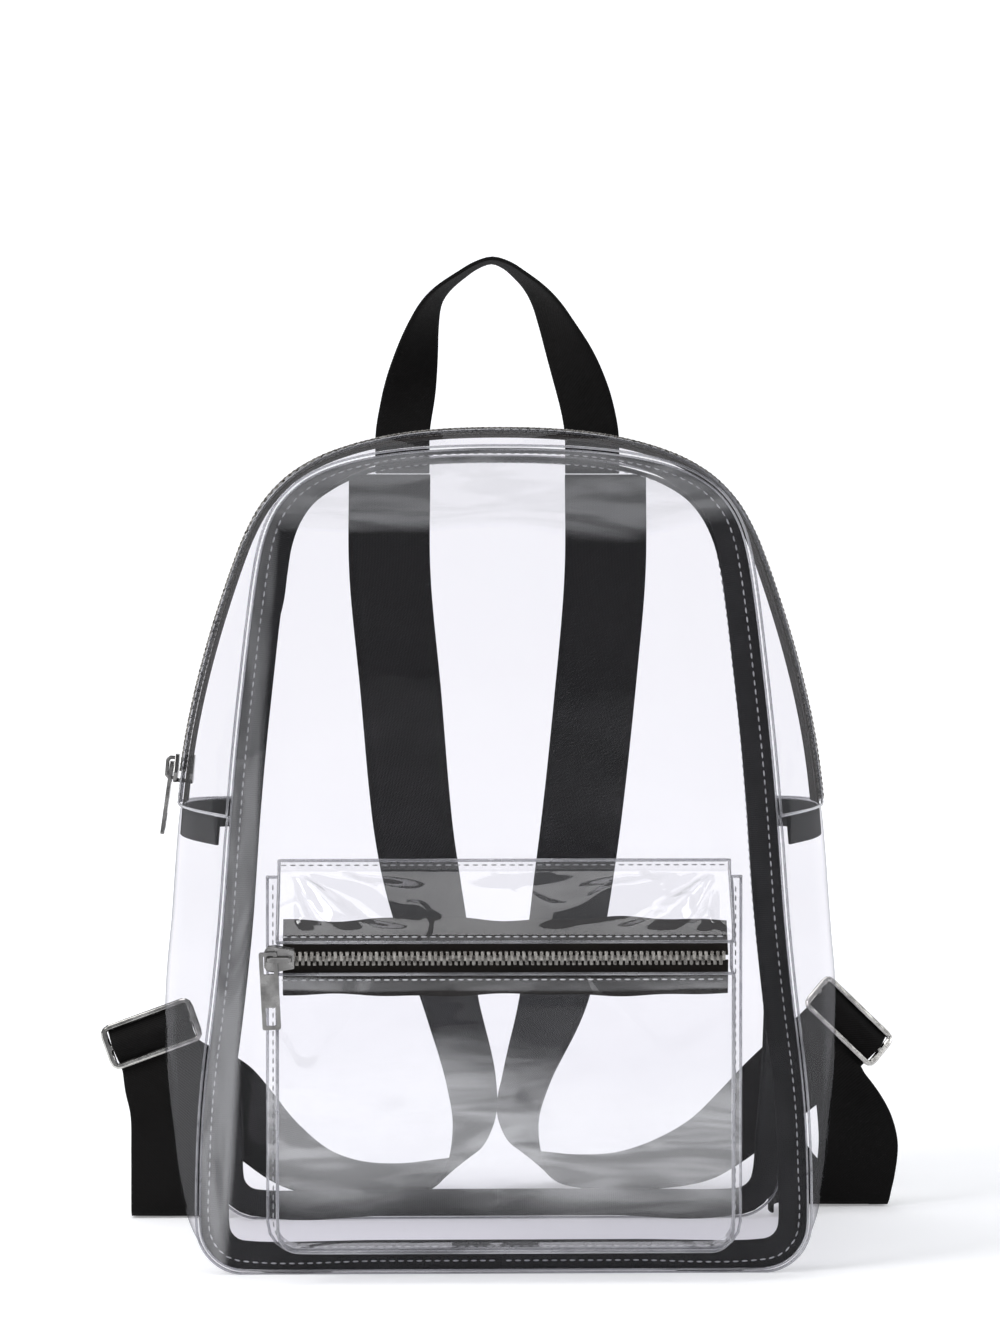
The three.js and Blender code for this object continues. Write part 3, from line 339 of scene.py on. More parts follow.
def clearMaterial(name, settings):
    # a thin clear sheet: light goes straight through, and more of it bounces off at a low angle;
    # bands of painted reflection can be laid on top
    material, work, output = newMaterial(name)
    place = work.add("ShaderNodeTexCoord")
    wrinkle = useGroup(work, wrinkleGroup, Vector=place.outputs["Object"],
                       Scale=settings["scale"], Crease=settings["crease"])
    wear = useGroup(work, wearGroup, Vector=place.outputs["Object"], Patch=25.0, Grain=600.0)
    bump = work.add("ShaderNodeBump", Strength=settings["bump"], Distance=0.003,
                    Height=wrinkle.outputs["Height"])
    fresnel = work.add("ShaderNodeFresnel", IOR=1.5, Normal=bump.outputs[0])
    facing = work.add("ShaderNodeLayerWeight", Blend=0.5)
    edge = work.ramp(facing.outputs["Facing"], 0.82, 1.0)
    bounce = work.math("MINIMUM", work.math("MULTIPLY", fresnel.outputs[0], settings["gloss"]),
                       settings["most"])
    share = work.math("ADD", bounce, work.math("MULTIPLY", wear.outputs["Mottle"],
                                               settings["haze"]))
    split = work.add("ShaderNodeSeparateXYZ", Vector=place.outputs["Object"])
    for paintedBand in settings.get("paintedReflections", []):
        # each painted reflection lies between two heights, or beside a seam that leans by its
        # slant, and raises the gloss share there
        where = place.outputs["Object"]
        if "slant" in paintedBand:
            beside = work.math("SUBTRACT", split.outputs[0],
                               work.math("MULTIPLY", split.outputs[2], paintedBand["slant"]))
            where = work.add("ShaderNodeCombineXYZ", X=split.outputs[2], Y=split.outputs[1],
                             Z=beside).outputs[0]
        band = useGroup(work, paintedReflectionGroup, Vector=where, Low=paintedBand["low"], High=paintedBand["high"],
                        Soft=paintedBand["soft"], Wave=paintedBand["wave"])
        # painted reflection: the band's mask lifts the share of gloss over the see-through part
        paintedShare = work.math("MULTIPLY", band.outputs["Mask"], paintedBand["share"])
        share = work.math("MAXIMUM", share, paintedShare)
    tint = work.mixColor(edge, settings["tint"], settings["edgeTint"])
    through = work.add("ShaderNodeBsdfTransparent", Color=tint)
    gloss = work.add("ShaderNodeBsdfPrincipled", Base_Color=settings["shine"],
                     Normal=bump.outputs[0],
                     Roughness=work.ramp(wear.outputs["Mottle"], 0.0, 1.0, *settings["roughness"]))
    gloss.inputs["Metallic"].default_value = 0.6
    mix = work.add("ShaderNodeMixShader")
    work.feed(mix, 0, work.math("MINIMUM", share, 0.9))
    work.feed(mix, 1, through.outputs[0])
    work.feed(mix, 2, gloss.outputs[0])
    work.feed(output, "Surface", mix.outputs[0])
    return material


clearLook = clearMaterial("clearSheet", {
    "scale": 8.0, "crease": 0.5, "bump": 0.35, "gloss": 0.6, "most": 0.05, "haze": 0.004,
    "roughness": (0.03, 0.08), "tint": (0.9, 0.893, 0.912, 1), "edgeTint": (0.6, 0.6, 0.62, 1),
    "shine": (0.92, 0.92, 0.94, 1)})
# the front sheet carries painted reflections: a pale band near the top and a narrow one beside the
# left side seam
frontLook = clearMaterial("clearFrontSheet", {
    "scale": 8.0, "crease": 0.5, "bump": 0.35, "gloss": 0.32, "most": 0.2, "haze": 0.003,
    "roughness": (0.03, 0.08), "tint": (0.9, 0.893, 0.912, 1), "edgeTint": (0.6, 0.6, 0.62, 1),
    "shine": (0.92, 0.92, 0.94, 1),
    "paintedReflections": [{"low": 0.253, "high": 0.3, "soft": 0.007, "wave": 0.035, "share": 0.34},
               {"slant": 0.0735, "low": -0.112, "high": -0.0935, "soft": 0.004, "wave": 0.004,
                "share": 0.26}]})
# the pocket sheet carries painted reflections: a broad pale band low on its face and a thin band
# higher up
pocketLook = clearMaterial("clearPocketSheet", {
    "scale": 16.0, "crease": 1.0, "bump": 0.6, "gloss": 0.7, "most": 0.3, "haze": 0.006,
    "roughness": (0.03, 0.1), "tint": (0.955, 0.955, 0.965, 1), "edgeTint": (0.6, 0.6, 0.62, 1),
    "shine": (0.92, 0.92, 0.94, 1),
    "paintedReflections": [{"low": 0.016, "high": 0.088, "soft": 0.03, "wave": 0.03, "share": 0.42},
               {"low": 0.098, "high": 0.1038, "soft": 0.0015, "wave": 0.004, "share": 0.24}]})
slopeLook = clearMaterial("clearSlopeSheet", {
    "scale": 22.0, "crease": 1.0, "bump": 0.9, "gloss": 2.0, "most": 0.5, "haze": 0.03,
    "roughness": (0.03, 0.1), "tint": (0.95, 0.95, 0.96, 1), "edgeTint": (0.6, 0.6, 0.62, 1),
    "shine": (0.92, 0.92, 0.94, 1)})
rimLook = clearMaterial("sheetCutEdge", {
    "scale": 60.0, "crease": 0.5, "bump": 0.4, "gloss": 3.0, "most": 0.5, "haze": 0.3,
    "roughness": (0.1, 0.3), "tint": (0.62, 0.62, 0.64, 1), "edgeTint": (0.4, 0.4, 0.42, 1),
    "shine": (0.8, 0.8, 0.83, 1)})
print("materials made")


# Clear sheets, each the outer face of its CAD sheet, with soft creases and a cut edge

def outerSheet(name, node, keep, settings, material):
    piece = bpy.data.objects.new(name, nodes[node].data.copy())
    scene.collection.objects.link(piece)
    activate(piece)
    bpy.ops.object.mode_set(mode="EDIT")
    bpy.ops.mesh.select_all(action="SELECT")
    bpy.ops.mesh.remove_doubles(threshold=2e-6)
    bpy.ops.mesh.select_all(action="DESELECT")
    shape = bmesh.from_edit_mesh(piece.data)
    for face in shape.faces:
        face.select_set(not keep(face.normal, face.calc_center_median()))
    bmesh.update_edit_mesh(piece.data)
    bpy.ops.mesh.delete(type="FACE")
    bpy.ops.mesh.select_all(action="SELECT")
    bpy.ops.mesh.tris_convert_to_quads(face_threshold=math.radians(60),
                                       shape_threshold=math.radians(60))
    bpy.ops.object.mode_set(mode="OBJECT")
    smooth = piece.modifiers.new("smooth", "SUBSURF")
    smooth.levels = smooth.render_levels = settings["levels"]
    smooth.boundary_smooth = "PRESERVE_CORNERS"
    smooth.subdivision_type = settings.get("kind", "CATMULL_CLARK")
    applyModifier(piece, smooth)
    creaseSheet(piece, settings)
    activate(piece)
    bpy.ops.object.shade_smooth_by_angle(angle=math.radians(35))
    finishPiece(piece, "bag", material, "clear_sheet", node)
    cutEdge(piece, settings["edge"])
    return piece


def cutEdge(piece, radius):
    # the cut edge of a sheet shows as a fine rounded line
    activate(piece)
    bpy.ops.object.mode_set(mode="EDIT")
    bpy.ops.mesh.select_all(action="SELECT")
    bpy.ops.mesh.region_to_loop()
    bpy.ops.mesh.duplicate()
    bpy.ops.mesh.separate(type="SELECTED")
    bpy.ops.object.mode_set(mode="OBJECT")
    line = next(thing for thing in bpy.context.selected_objects if thing is not piece)
    activate(line)
    bpy.ops.object.convert(target="CURVE")
    line.data.bevel_depth = radius
    line.data.bevel_resolution = 1
    bpy.ops.object.convert(target="MESH")
    line = bpy.context.active_object
    line.name = piece.name + "Edge"
    bpy.ops.object.shade_smooth()
    return finishPiece(line, "bag", rimLook, "clear_sheet")


def edgeTree(mesh):
    uses = {}
    for polygon in mesh.polygons:
        for key in polygon.edge_keys:
            uses[key] = uses.get(key, 0) + 1
    rim = sorted({v for key, count in uses.items() if count == 1 for v in key})
    tree = kdtree.KDTree(len(rim))
    for v in rim:
        tree.insert(mesh.vertices[v].co, v)
    tree.balance()
    return tree


seamHold = 0.004 # a sheet doesn't crease this close to its edge
floorRoom = 0.0003 # the base stays this far above the floor


def creaseSheet(piece, settings):
    # the sheet is held at its seams, so the creases fade out there
    tree = edgeTree(piece.data)
    loose = piece.vertex_groups.new(name="loose")
    for vertex in piece.data.vertices:
        away = tree.find(vertex.co)[2]
        share = min(1.0, max(0.0, (away - seamHold) / settings["fade"]))
        loose.add([vertex.index], share * share * (3 - 2 * share), "REPLACE")
    for index, (size, depth) in enumerate(settings["creases"]):
        clouds = bpy.data.textures.new(piece.name + "Crease" + str(index), "CLOUDS")
        clouds.noise_scale = size
        clouds.noise_depth = 1
        push = piece.modifiers.new("crease" + str(index), "DISPLACE")
        push.texture = clouds
        push.strength = depth
        push.mid_level = 0.5
        push.vertex_group = "loose"
        applyModifier(piece, push)
    for fan in settings.get("fans", []):
        fanWrinkles(piece, fan)
    for vertex in piece.data.vertices:
        vertex.co.z = max(vertex.co.z, floorRoom)
    piece.vertex_groups.clear()


def fanWrinkles(piece, fan):
    # folds that spread out from one point where the sheet is pulled
    loose = piece.vertex_groups["loose"]
    normals = [vertex.normal.copy() for vertex in piece.data.vertices]
    for vertex, normal in zip(piece.data.vertices, normals):
        across = vertex.co.x - fan["at"][0]
        down = vertex.co.z - fan["at"][1]
        reach = math.hypot(across, down)
        fade = min(1.0, reach / 0.012) * max(0.0, 1 - reach / fan["reach"])
        angle = math.atan2(down, abs(across) + 1e-6)
        fold = math.sin(angle * fan["count"] + reach * fan["twist"])
        push = fan["depth"] * fade * fold * loose.weight(vertex.index)
        vertex.co -= normal * push


def outwards(normal, centre, height=0.14):
    return normal.x * centre.x + normal.z * (centre.z - height) > 0


panelSheets = {
    "frontSheet": {"node": "front_panel", "levels": 4, "fade": 0.03, "side": -1, "edge": 0.0004,
                   "creases": [(0.09, 0.003), (0.03, 0.0006)], "look": frontLook},
    "backSheet": {"node": "back_panel", "levels": 4, "fade": 0.03, "side": 1, "edge": 0.0004,
                  "creases": [(0.09, 0.0015), (0.03, 0.0004)], "look": clearLook},
}
for name, settings in panelSheets.items():
    side = settings["side"]
    outerSheet(name, settings["node"], lambda n, c, side=side: n.y * side > 0.7, settings,
               settings["look"])
print("panels made")

sideSheets = {
    "baseSheet": {"node": "lower_gusset", "levels": 3, "fade": 0.02, "edge": 0.0005,
                  "creases": [(0.06, 0.0016), (0.02, 0.0004)]},
    "archSheetFront": {"node": "zip_strip_front", "levels": 3, "fade": 0.015, "edge": 0.0005,
                       "creases": [(0.05, 0.0016), (0.018, 0.0005)]},
    "archSheetBack": {"node": "zip_strip_back", "levels": 3, "fade": 0.015, "edge": 0.0005,
                      "creases": [(0.05, 0.0016), (0.018, 0.0005)]},
}
for name, settings in sideSheets.items():
    outerSheet(name, settings["node"],
               lambda n, c: abs(n.y) < 0.85 and outwards(n, c), settings, clearLook)
print("gusset made")

slopeFans = [{"at": (side * 0.0765, 0.141), "reach": 0.085, "count": 13.0, "twist": 40.0,
              "depth": 0.002} for side in (-1, 1)]
pocketSheets = {
    "pocketFace": {"node": "pocket_front", "levels": 4, "fade": 0.02, "edge": 0.00055,
                   "creases": [(0.05, 0.0025), (0.02, 0.0008)], "look": pocketLook,
                   "keep": lambda n, c: n.y < -0.7},
    "pocketSides": {"node": "pocket_wall", "levels": 2, "fade": 0.01, "kind": "SIMPLE",
                    "creases": [(0.03, 0.001)], "edge": 0.00055, "look": pocketLook,
                    "keep": lambda n, c: n.y < -0.7 and c.y > -0.058
                    or abs(n.y) < 0.5 and n.z < 0.5 and outwards(n, c, 0.07)},
    "pocketSlope": {"node": "pocket_top", "levels": 5, "fade": 0.006, "kind": "SIMPLE",
                    "creases": [(0.035, 0.0024)], "edge": 0.00055, "look": slopeLook,
                    "fans": slopeFans, "keep": lambda n, c: n.y < -0.3},
}
for name, settings in pocketSheets.items():
    outerSheet(name, settings["node"], settings["keep"], settings, settings["look"])
print("pocket sheets made")


# Bands: webbing, bindings and tapes follow the sections of their CAD solids

def sectionsOf(node, towards, looped=False):
    # the four corners of each section in turn, from the end that lies furthest towards a direction
    shape = bmesh.new()
    shape.from_mesh(nodes[node].data)
    bmesh.ops.remove_doubles(shape, verts=shape.verts, dist=2e-6)
    score = (lambda v: -1000 * abs(v.co.x) - v.co.z) if looped else (lambda v: v.co.dot(towards))
    level = sorted(shape.verts, key=score)[-4:]
    seen = set(level)
    rings = []
    while level:
        rings.append([v.co.copy() for v in level])
        after = {e.other_vert(v) for v in level for e in v.link_edges} - seen
        if looped and len(rings) == 1:
            after = {v for v in after if v.co.x > 0}
        seen |= after
        level = sorted(after, key=lambda v: v.index)
    shape.free()
    if any(len(ring) != 4 for ring in rings):
        raise ValueError(node + " isn't a plain band")
    return rings


def bandRows(node, towards, looped=False):
    # middle, half width vector and half thickness vector at each section
    rows = []
    for ring in sectionsOf(node, towards, looped):
        first = ring[0]
        others = sorted(ring[1:], key=lambda p: (p - first).length)
        pair, rest = (first + others[0]) / 2, (others[1] + others[2]) / 2
        if rows and (rest - pair).dot(rows[-1][1]) < 0:
            pair, rest = rest, pair
        rows.append(((pair + rest) / 2, (rest - pair) / 2))
    return rows


def sampled(rows, spacing, looped=False):
    # the same rows, evenly spaced on a smooth curve, with the length along it
    middle = np.array([row[0] for row in rows])
    wide = np.array([row[1] for row in rows])
    if looped:
        middle, wide = (np.vstack([a[-2:], a, a[:3]]) for a in (middle, wide))
    chord = np.concatenate([[0], np.cumsum(np.linalg.norm(np.diff(middle, axis=0), axis=1))])
    start, stop = (chord[2], chord[-3]) if looped else (0, chord[-1])
    count = max(4, round((stop - start) / spacing))
    at = np.linspace(start, stop, count + 1)

    def curve(values):
        slope = np.gradient(values, chord, axis=0)
        index = np.clip(np.searchsorted(chord, at, side="right") - 1, 0, len(chord) - 2)
        gap = (chord[index + 1] - chord[index])[:, None]
        t = (at[:, None] - chord[index][:, None]) / gap
        return ((2 * t**3 - 3 * t**2 + 1) * values[index]
                + (t**3 - 2 * t**2 + t) * gap * slope[index]
                + (3 * t**2 - 2 * t**3) * values[index + 1]
                + (t**3 - t**2) * gap * slope[index + 1])

    middle, wide = curve(middle), curve(wide)
    along = np.gradient(middle, axis=0)
    along /= np.linalg.norm(along, axis=1)[:, None]
    face = np.cross(along, wide)
    face /= np.linalg.norm(face, axis=1)[:, None]
    return {"middle": middle, "wide": wide, "along": along, "face": face, "at": at - start}


def bandPiece(name, path, settings, material, slot, *replaced):
    count = len(path["at"]) - 1
    across = settings["across"]
    deselectAll()
    bpy.ops.mesh.primitive_grid_add(x_subdivisions=across, y_subdivisions=count, size=1,
                                    calc_uvs=True)
    piece = bpy.context.active_object
    piece.name = name
    width = 2 * float(np.linalg.norm(path["wide"], axis=1).mean())
    length = float(path["at"][-1])
    uses = piece.data.uv_layers.active.data
    for loop in piece.data.loops:
        corner = piece.data.vertices[loop.vertex_index].co
        uses[loop.index].uv = ((corner.x + 0.5) * width, (corner.y + 0.5) * length)
    ripple = settings.get("ripple", 0)
    for vertex in piece.data.vertices:
        k = min(count, max(0, round((vertex.co.y + 0.5) * count)))
        share = 2 * vertex.co.x
        wave = ripple * math.sin(path["at"][k] * 180) * abs(share)
        place = path["middle"][k] + share * path["wide"][k] + wave * path["face"][k]
        vertex.co = Vector(place)
    thick = piece.modifiers.new("thickness", "SOLIDIFY")
    thick.thickness = settings["thick"]
    thick.offset = 0
    thick.use_even_offset = True
    applyModifier(piece, thick)
    if settings.get("looped"):
        activate(piece)
        bpy.ops.object.mode_set(mode="EDIT")
        bpy.ops.mesh.select_all(action="SELECT")
        bpy.ops.mesh.remove_doubles(threshold=1e-5)
        bpy.ops.object.mode_set(mode="OBJECT")
    round_ = piece.modifiers.new("roundedEdges", "BEVEL")
    round_.width = settings["thick"] * 0.3
    round_.segments = 2
    round_.limit_method = "ANGLE"
    round_.angle_limit = math.radians(60)
    applyModifier(piece, round_)
    activate(piece)
    bpy.ops.object.shade_smooth_by_angle(angle=math.radians(50))
    return finishPiece(piece, "bag", material, slot, *replaced)


leftEnd = Vector((-0.05, 0, -1))
webbingPieces = {
    "carryLoop": {"node": "handle", "towards": leftEnd},
    "strapLeft": {"node": "strap_left", "towards": Vector((0, 0, 1))},
    "strapRight": {"node": "strap_right", "towards": Vector((0, 0, 1))},
    "lowerWebbingLeft": {"node": "strap_lower_left", "towards": Vector((0, -1, 0))},
    "lowerWebbingRight": {"node": "strap_lower_right", "towards": Vector((0, -1, 0))},
}
for name, settings in webbingPieces.items():
    rows = bandRows(settings["node"], settings["towards"])
    bandPiece(name, sampled(rows, 0.002), {"across": 8, "thick": 0.0013, "ripple": 0.0001},
              webbingLook, "webbing", settings["node"])
print("webbing made")

bindingPaths = {}
for name, node in {"bindingFront": "binding_front", "bindingBack": "binding_back"}.items():
    bindingPaths[name] = sampled(bandRows(node, None, looped=True), 0.003, looped=True)
    bandPiece(name, bindingPaths[name], {"across": 4, "thick": 0.0014, "looped": True},
              bindingLook, "binding", node)


def stripRows(node):
    # a cross seam's binding runs from front to back, with many corners to a section
    low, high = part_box(node)
    shape = nodes[node].data
    rows = []
    for y in sorted({round(v.co.y, 5) for v in shape.vertices}):
        ring = [v.co for v in shape.vertices if abs(v.co.y - y) < 2e-5]
        top = [p for p in ring if p.z > high.z - 0.002]
        foot = [p for p in ring if p.z < low.z + 0.002]
        upper = sum(top, Vector()) / len(top)
        lower = sum(foot, Vector()) / len(foot)
        rows.append(((upper + lower) / 2, (upper - lower) / 2))
    return rows


for side in ("left", "right"):
    node = "binding_cross_" + side
    bandPiece("bindingCross" + side.title(), sampled(stripRows(node), 0.003),
              {"across": 4, "thick": 0.0014}, bindingLook, "binding", node)
print("bindings made")

tapePaths = {}
archTapes = {"archTapeFront": "main_zip_tape_front", "archTapeBack": "main_zip_tape_back"}
for name, node in archTapes.items():
    tapePaths[name] = sampled(bandRows(node, leftEnd), 0.003)
    bandPiece(name, tapePaths[name], {"across": 6, "thick": 0.0006}, zipTapeLook, "zip_tape", node)


tapeHalfThick = 0.0003


def pocketTapeRows(node, settings):
    # a pocket tape runs from left to right along its sewn edge; its free edge waves and leans back
    low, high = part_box(node)
    sewn, free = (low.z, high.z) if settings["up"] else (high.z, low.z)
    rows = []
    for share in np.linspace(0, 1, 60):
        x = low.x + (high.x - low.x) * share
        wave = math.sin(x * 95 + 1.0) + 0.6 * math.sin(x * 231 + 2.0)
        back = settings["lean"] * (1 + 0.05 * wave)
        short = (free - sewn) * settings["wave"] * (1 + wave)
        edge = Vector((x, low.y + tapeHalfThick + back, free - short))
        seam = Vector((x, low.y + tapeHalfThick, sewn))
        rows.append(((edge + seam) / 2, (edge - seam) / 2))
    return rows


pocketTapes = {
    "pocketTapeLow": {"node": "pocket_tape_lower", "up": False, "lean": 0.0012, "wave": 0.03},
    "pocketTapeHigh": {"node": "pocket_tape_upper", "up": True, "lean": 0.0066, "wave": 0.05},
}
for name, settings in pocketTapes.items():
    bandPiece(name, sampled(pocketTapeRows(settings["node"], settings), 0.001),
              {"across": 10, "thick": 0.0006}, zipTapeLook, "zip_tape", settings["node"])
print("tapes made")


# Zip teeth: one tooth is modelled and copied along both sides of each zip

toothSettings = {"pitch": 0.00197, "reach": 0.0029, "width": 0.0012, "height": 0.0022,
                 "lap": 0.0006}


def makeTooth(settings):
    deselectAll()
    bpy.ops.mesh.primitive_cube_add(size=1)
    tooth = bpy.context.active_object
    for vertex in tooth.data.vertices:
        vertex.co.x *= settings["width"]
        vertex.co.y = (vertex.co.y + 0.5) * settings["reach"] - settings["lap"]
        vertex.co.z *= settings["height"]
    bpy.ops.object.mode_set(mode="EDIT")
    shape = bmesh.from_edit_mesh(tooth.data)
    bpy.ops.mesh.select_all(action="DESELECT")
    shape.faces.ensure_lookup_table()
    head = min(shape.faces, key=lambda f: f.calc_center_median().y)
    head.select_set(True)
    bmesh.update_edit_mesh(tooth.data)
    bpy.ops.mesh.inset(thickness=settings["width"] * 0.18)
    bpy.ops.transform.translate(value=(0, -settings["lap"] * 0.5, 0))
    bpy.ops.object.mode_set(mode="OBJECT")
    edges = tooth.modifiers.new("edges", "BEVEL")
    edges.width = settings["width"] * 0.14
    edges.segments = 1
    applyModifier(tooth, edges)
    points = np.array([v.co for v in tooth.data.vertices])
    faces = [list(p.vertices) for p in tooth.data.polygons]
    bpy.data.objects.remove(tooth)
    return points, faces


toothPoints, toothFaces = makeTooth(toothSettings)


def copiesPiece(name, placings, points, faces):
    # one mesh that holds a copy at each place, given as origin and three axes
    everyPoint, everyFace = [], []
    for origin, xAxis, yAxis, zAxis in placings:
        start = len(everyPoint) * len(points)
        turned = points[:, :1] * xAxis + points[:, 1:2] * yAxis + points[:, 2:3] * zAxis + origin
        everyPoint.append(turned)
        everyFace += [[start + v for v in face] for face in faces]
    mesh = bpy.data.meshes.new(name)
    mesh.from_pydata(np.vstack(everyPoint).tolist(), [], everyFace)
    mesh.update()
    piece = bpy.data.objects.new(name, mesh)
    scene.collection.objects.link(piece)
    activate(piece)
    bpy.ops.object.mode_set(mode="EDIT")
    bpy.ops.mesh.select_all(action="SELECT")
    bpy.ops.mesh.normals_make_consistent(inside=False)
    bpy.ops.object.mode_set(mode="OBJECT")
    bpy.ops.object.shade_smooth_by_angle(angle=math.radians(40))
    return piece


def at(path, where):
    # the path's middle and axes at a length along it
    k = np.searchsorted(path["at"], where)
    k = min(max(1, k), len(path["at"]) - 1)
    span = path["at"][k] - path["at"][k - 1]
    share = (where - path["at"][k - 1]) / span
    pick = {key: path[key][k - 1] * (1 - share) + path[key][k] * share
            for key in ("middle", "wide", "along", "face")}
    for key in ("along", "face"):
        pick[key] = pick[key] / np.linalg.norm(pick[key])
    pick["across"] = pick["wide"] / np.linalg.norm(pick["wide"])
    return pick


def toothRow(path, settings):
    length = path["at"][-1]
    placings = []
    for side in (-1, 1):
        where = settings["pitch"] * (0.5 if side < 0 else 1.0)
        while where < length - settings["pitch"] * 0.4:
            spot = at(path, where)
            placings.append((spot["middle"], spot["along"] * side, spot["across"] * side,
                             spot["face"]))
            where += settings["pitch"]
    return placings


mainTeethPath = sampled(bandRows("main_zip_teeth", leftEnd), 0.003)
mainTeeth = copiesPiece("archTeeth", toothRow(mainTeethPath, toothSettings),
                        toothPoints, toothFaces)
finishPiece(mainTeeth, "bag", toothLook, "metal", "main_zip_teeth")

low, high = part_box("pocket_zip_teeth")
chainMiddle = (low + high) / 2
chainHalf = Vector((0, 0, (high.z - low.z) / 2))
pocketTeethPath = sampled([(Vector((low.x + (high.x - low.x) * s, chainMiddle.y, chainMiddle.z)),
                            chainHalf) for s in (0, 0.33, 0.67, 1)], 0.003)
pocketTeeth = copiesPiece("pocketTeeth", toothRow(pocketTeethPath, toothSettings),
                          toothPoints, toothFaces)
finishPiece(pocketTeeth, "bag", toothLook, "metal", "pocket_zip_teeth")
print("zip teeth made")


# Stitches: one stitch is modelled and copied along each seam

stitchSettings = {"length": 0.0021, "pitch": 0.0031, "thread": 0.00055}


def makeStitch(settings):
    deselectAll()
    bpy.ops.mesh.primitive_uv_sphere_add(segments=6, ring_count=5, radius=0.5)
    stitch = bpy.context.active_object
    for vertex in stitch.data.vertices:
        sink = 0.25 * settings["thread"] * (2 * abs(vertex.co.z)) ** 2
        vertex.co = Vector((vertex.co.z * settings["length"], vertex.co.x * settings["thread"],
                            vertex.co.y * settings["thread"] - sink))
    points = np.array([v.co for v in stitch.data.vertices])
    faces = [list(p.vertices) for p in stitch.data.polygons]
    bpy.data.objects.remove(stitch)
    return points, faces


stitchPoints, stitchFaces = makeStitch(stitchSettings)


def stitchAlong(points, outward, settings):
    # stitches along a line of points; outward is the way off the sheet, one or one for each point
    points = np.array(points, dtype=float)
    out = np.array(outward, dtype=float)
    if out.ndim == 1:
        out = np.repeat(out[None], len(points), axis=0)
    chord = np.concatenate([[0], np.cumsum(np.linalg.norm(np.diff(points, axis=0), axis=1))])
    placings = []
    where = settings["pitch"] / 2
    while where < chord[-1] - settings["pitch"] / 2:
        ahead = where + settings["length"] / 4
        spot, nextSpot, up = (np.array([np.interp(w, chord, a[:, i]) for i in range(3)])
                              for w, a in ((where, points), (ahead, points), (where, out)))
        along = (nextSpot - spot) / np.linalg.norm(nextSpot - spot)
        up = up - along * np.dot(up, along)
        up /= np.linalg.norm(up)
        placings.append((spot, along, np.cross(up, along), up))
        where += settings["pitch"]
    return placings


def stitchPiece(name, placings, slot="binding", look=threadLook):
    piece = copiesPiece(name, placings, stitchPoints, stitchFaces)
    return finishPiece(piece, "bag", look, slot)


pocketSeam = {"in": 0.0019, "topIn": 0.0016, "lift": 0.0003, "corner": 0.0085,
              "fromZip": 0.0072, "short": 0.001}
wallLow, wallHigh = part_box("pocket_wall")
slopeLow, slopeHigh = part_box("pocket_top")
sheetThick = 0.001
rimY = wallHigh.y - sheetThick - pocketSeam["lift"]
left = wallLow.x + pocketSeam["in"]
foot, head = wallLow.z + pocketSeam["in"], slopeHigh.z - pocketSeam["topIn"]
corner = pocketSeam["corner"]
loop = [(left, rimY, head - 0.006), (left, rimY, foot + corner)]
loop += [(left + corner * (1 - math.cos(a)), rimY, foot + corner * (1 - math.sin(a)))
         for a in np.linspace(0, math.pi / 2, 7)[1:]]
loop += [(-x, y, z) for x, y, z in reversed(loop)]
stitchPiece("pocketSeamStitches", stitchAlong(loop, (0, -1, 0), stitchSettings), "clear_sheet",
            clearThreadLook)
top = [(slopeLow.x, rimY, head), (slopeHigh.x, rimY, head)]
stitchPiece("pocketTopStitches", stitchAlong(top, (0, -1, 0), stitchSettings), "clear_sheet",
            clearThreadLook)
zipY = slopeLow.y - pocketSeam["lift"]
zipLines = [[(slopeLow.x + pocketSeam["short"], zipY, z),
             (slopeHigh.x - pocketSeam["short"], zipY, z)]
            for z in (chainMiddle.z + pocketSeam["fromZip"],
                      chainMiddle.z - pocketSeam["fromZip"])]
zipPlacings = [p for line in zipLines for p in stitchAlong(line, (0, -1, 0), stitchSettings)]
stitchPiece("pocketZipStitches", zipPlacings, "zip_tape")


bindingSeam = {"in": 0.002, "lift": 0.00085}
tapeSeam = {"in": 0.001, "lift": 0.0018}


def seamLine(path, acrossBy, liftBy):
    wide = path["wide"] / np.linalg.norm(path["wide"], axis=1)[:, None]
    return path["middle"] + wide * acrossBy + path["face"] * liftBy


for name, path in bindingPaths.items():
    side = -1 if name == "bindingFront" else 1
    face = path["face"] * (1 if path["face"][0][1] * side > 0 else -1)
    flat = {**path, "face": face}
    inner = -1 if np.dot(path["wide"][0], (0, 0, 1)) > 0 else 1
    line = seamLine(flat, inner * bindingSeam["in"], bindingSeam["lift"])
    stitchPiece(name + "Stitches", stitchAlong(line, face, stitchSettings))

for name, path in tapePaths.items():
    side = -1 if name == "archTapeFront" else 1
    upward = path["face"] * (1 if path["face"][len(path["face"]) // 2][2] > 0 else -1)
    outer = 1 if path["wide"][0][1] * side > 0 else -1
    line = seamLine({**path, "face": upward}, outer * tapeSeam["in"], tapeSeam["lift"])
    stitchPiece(name + "Stitches", stitchAlong(line, upward, stitchSettings), "zip_tape")
print("stitches made")


# Metal pieces keep their CAD shape, with softened edges and a plated finish

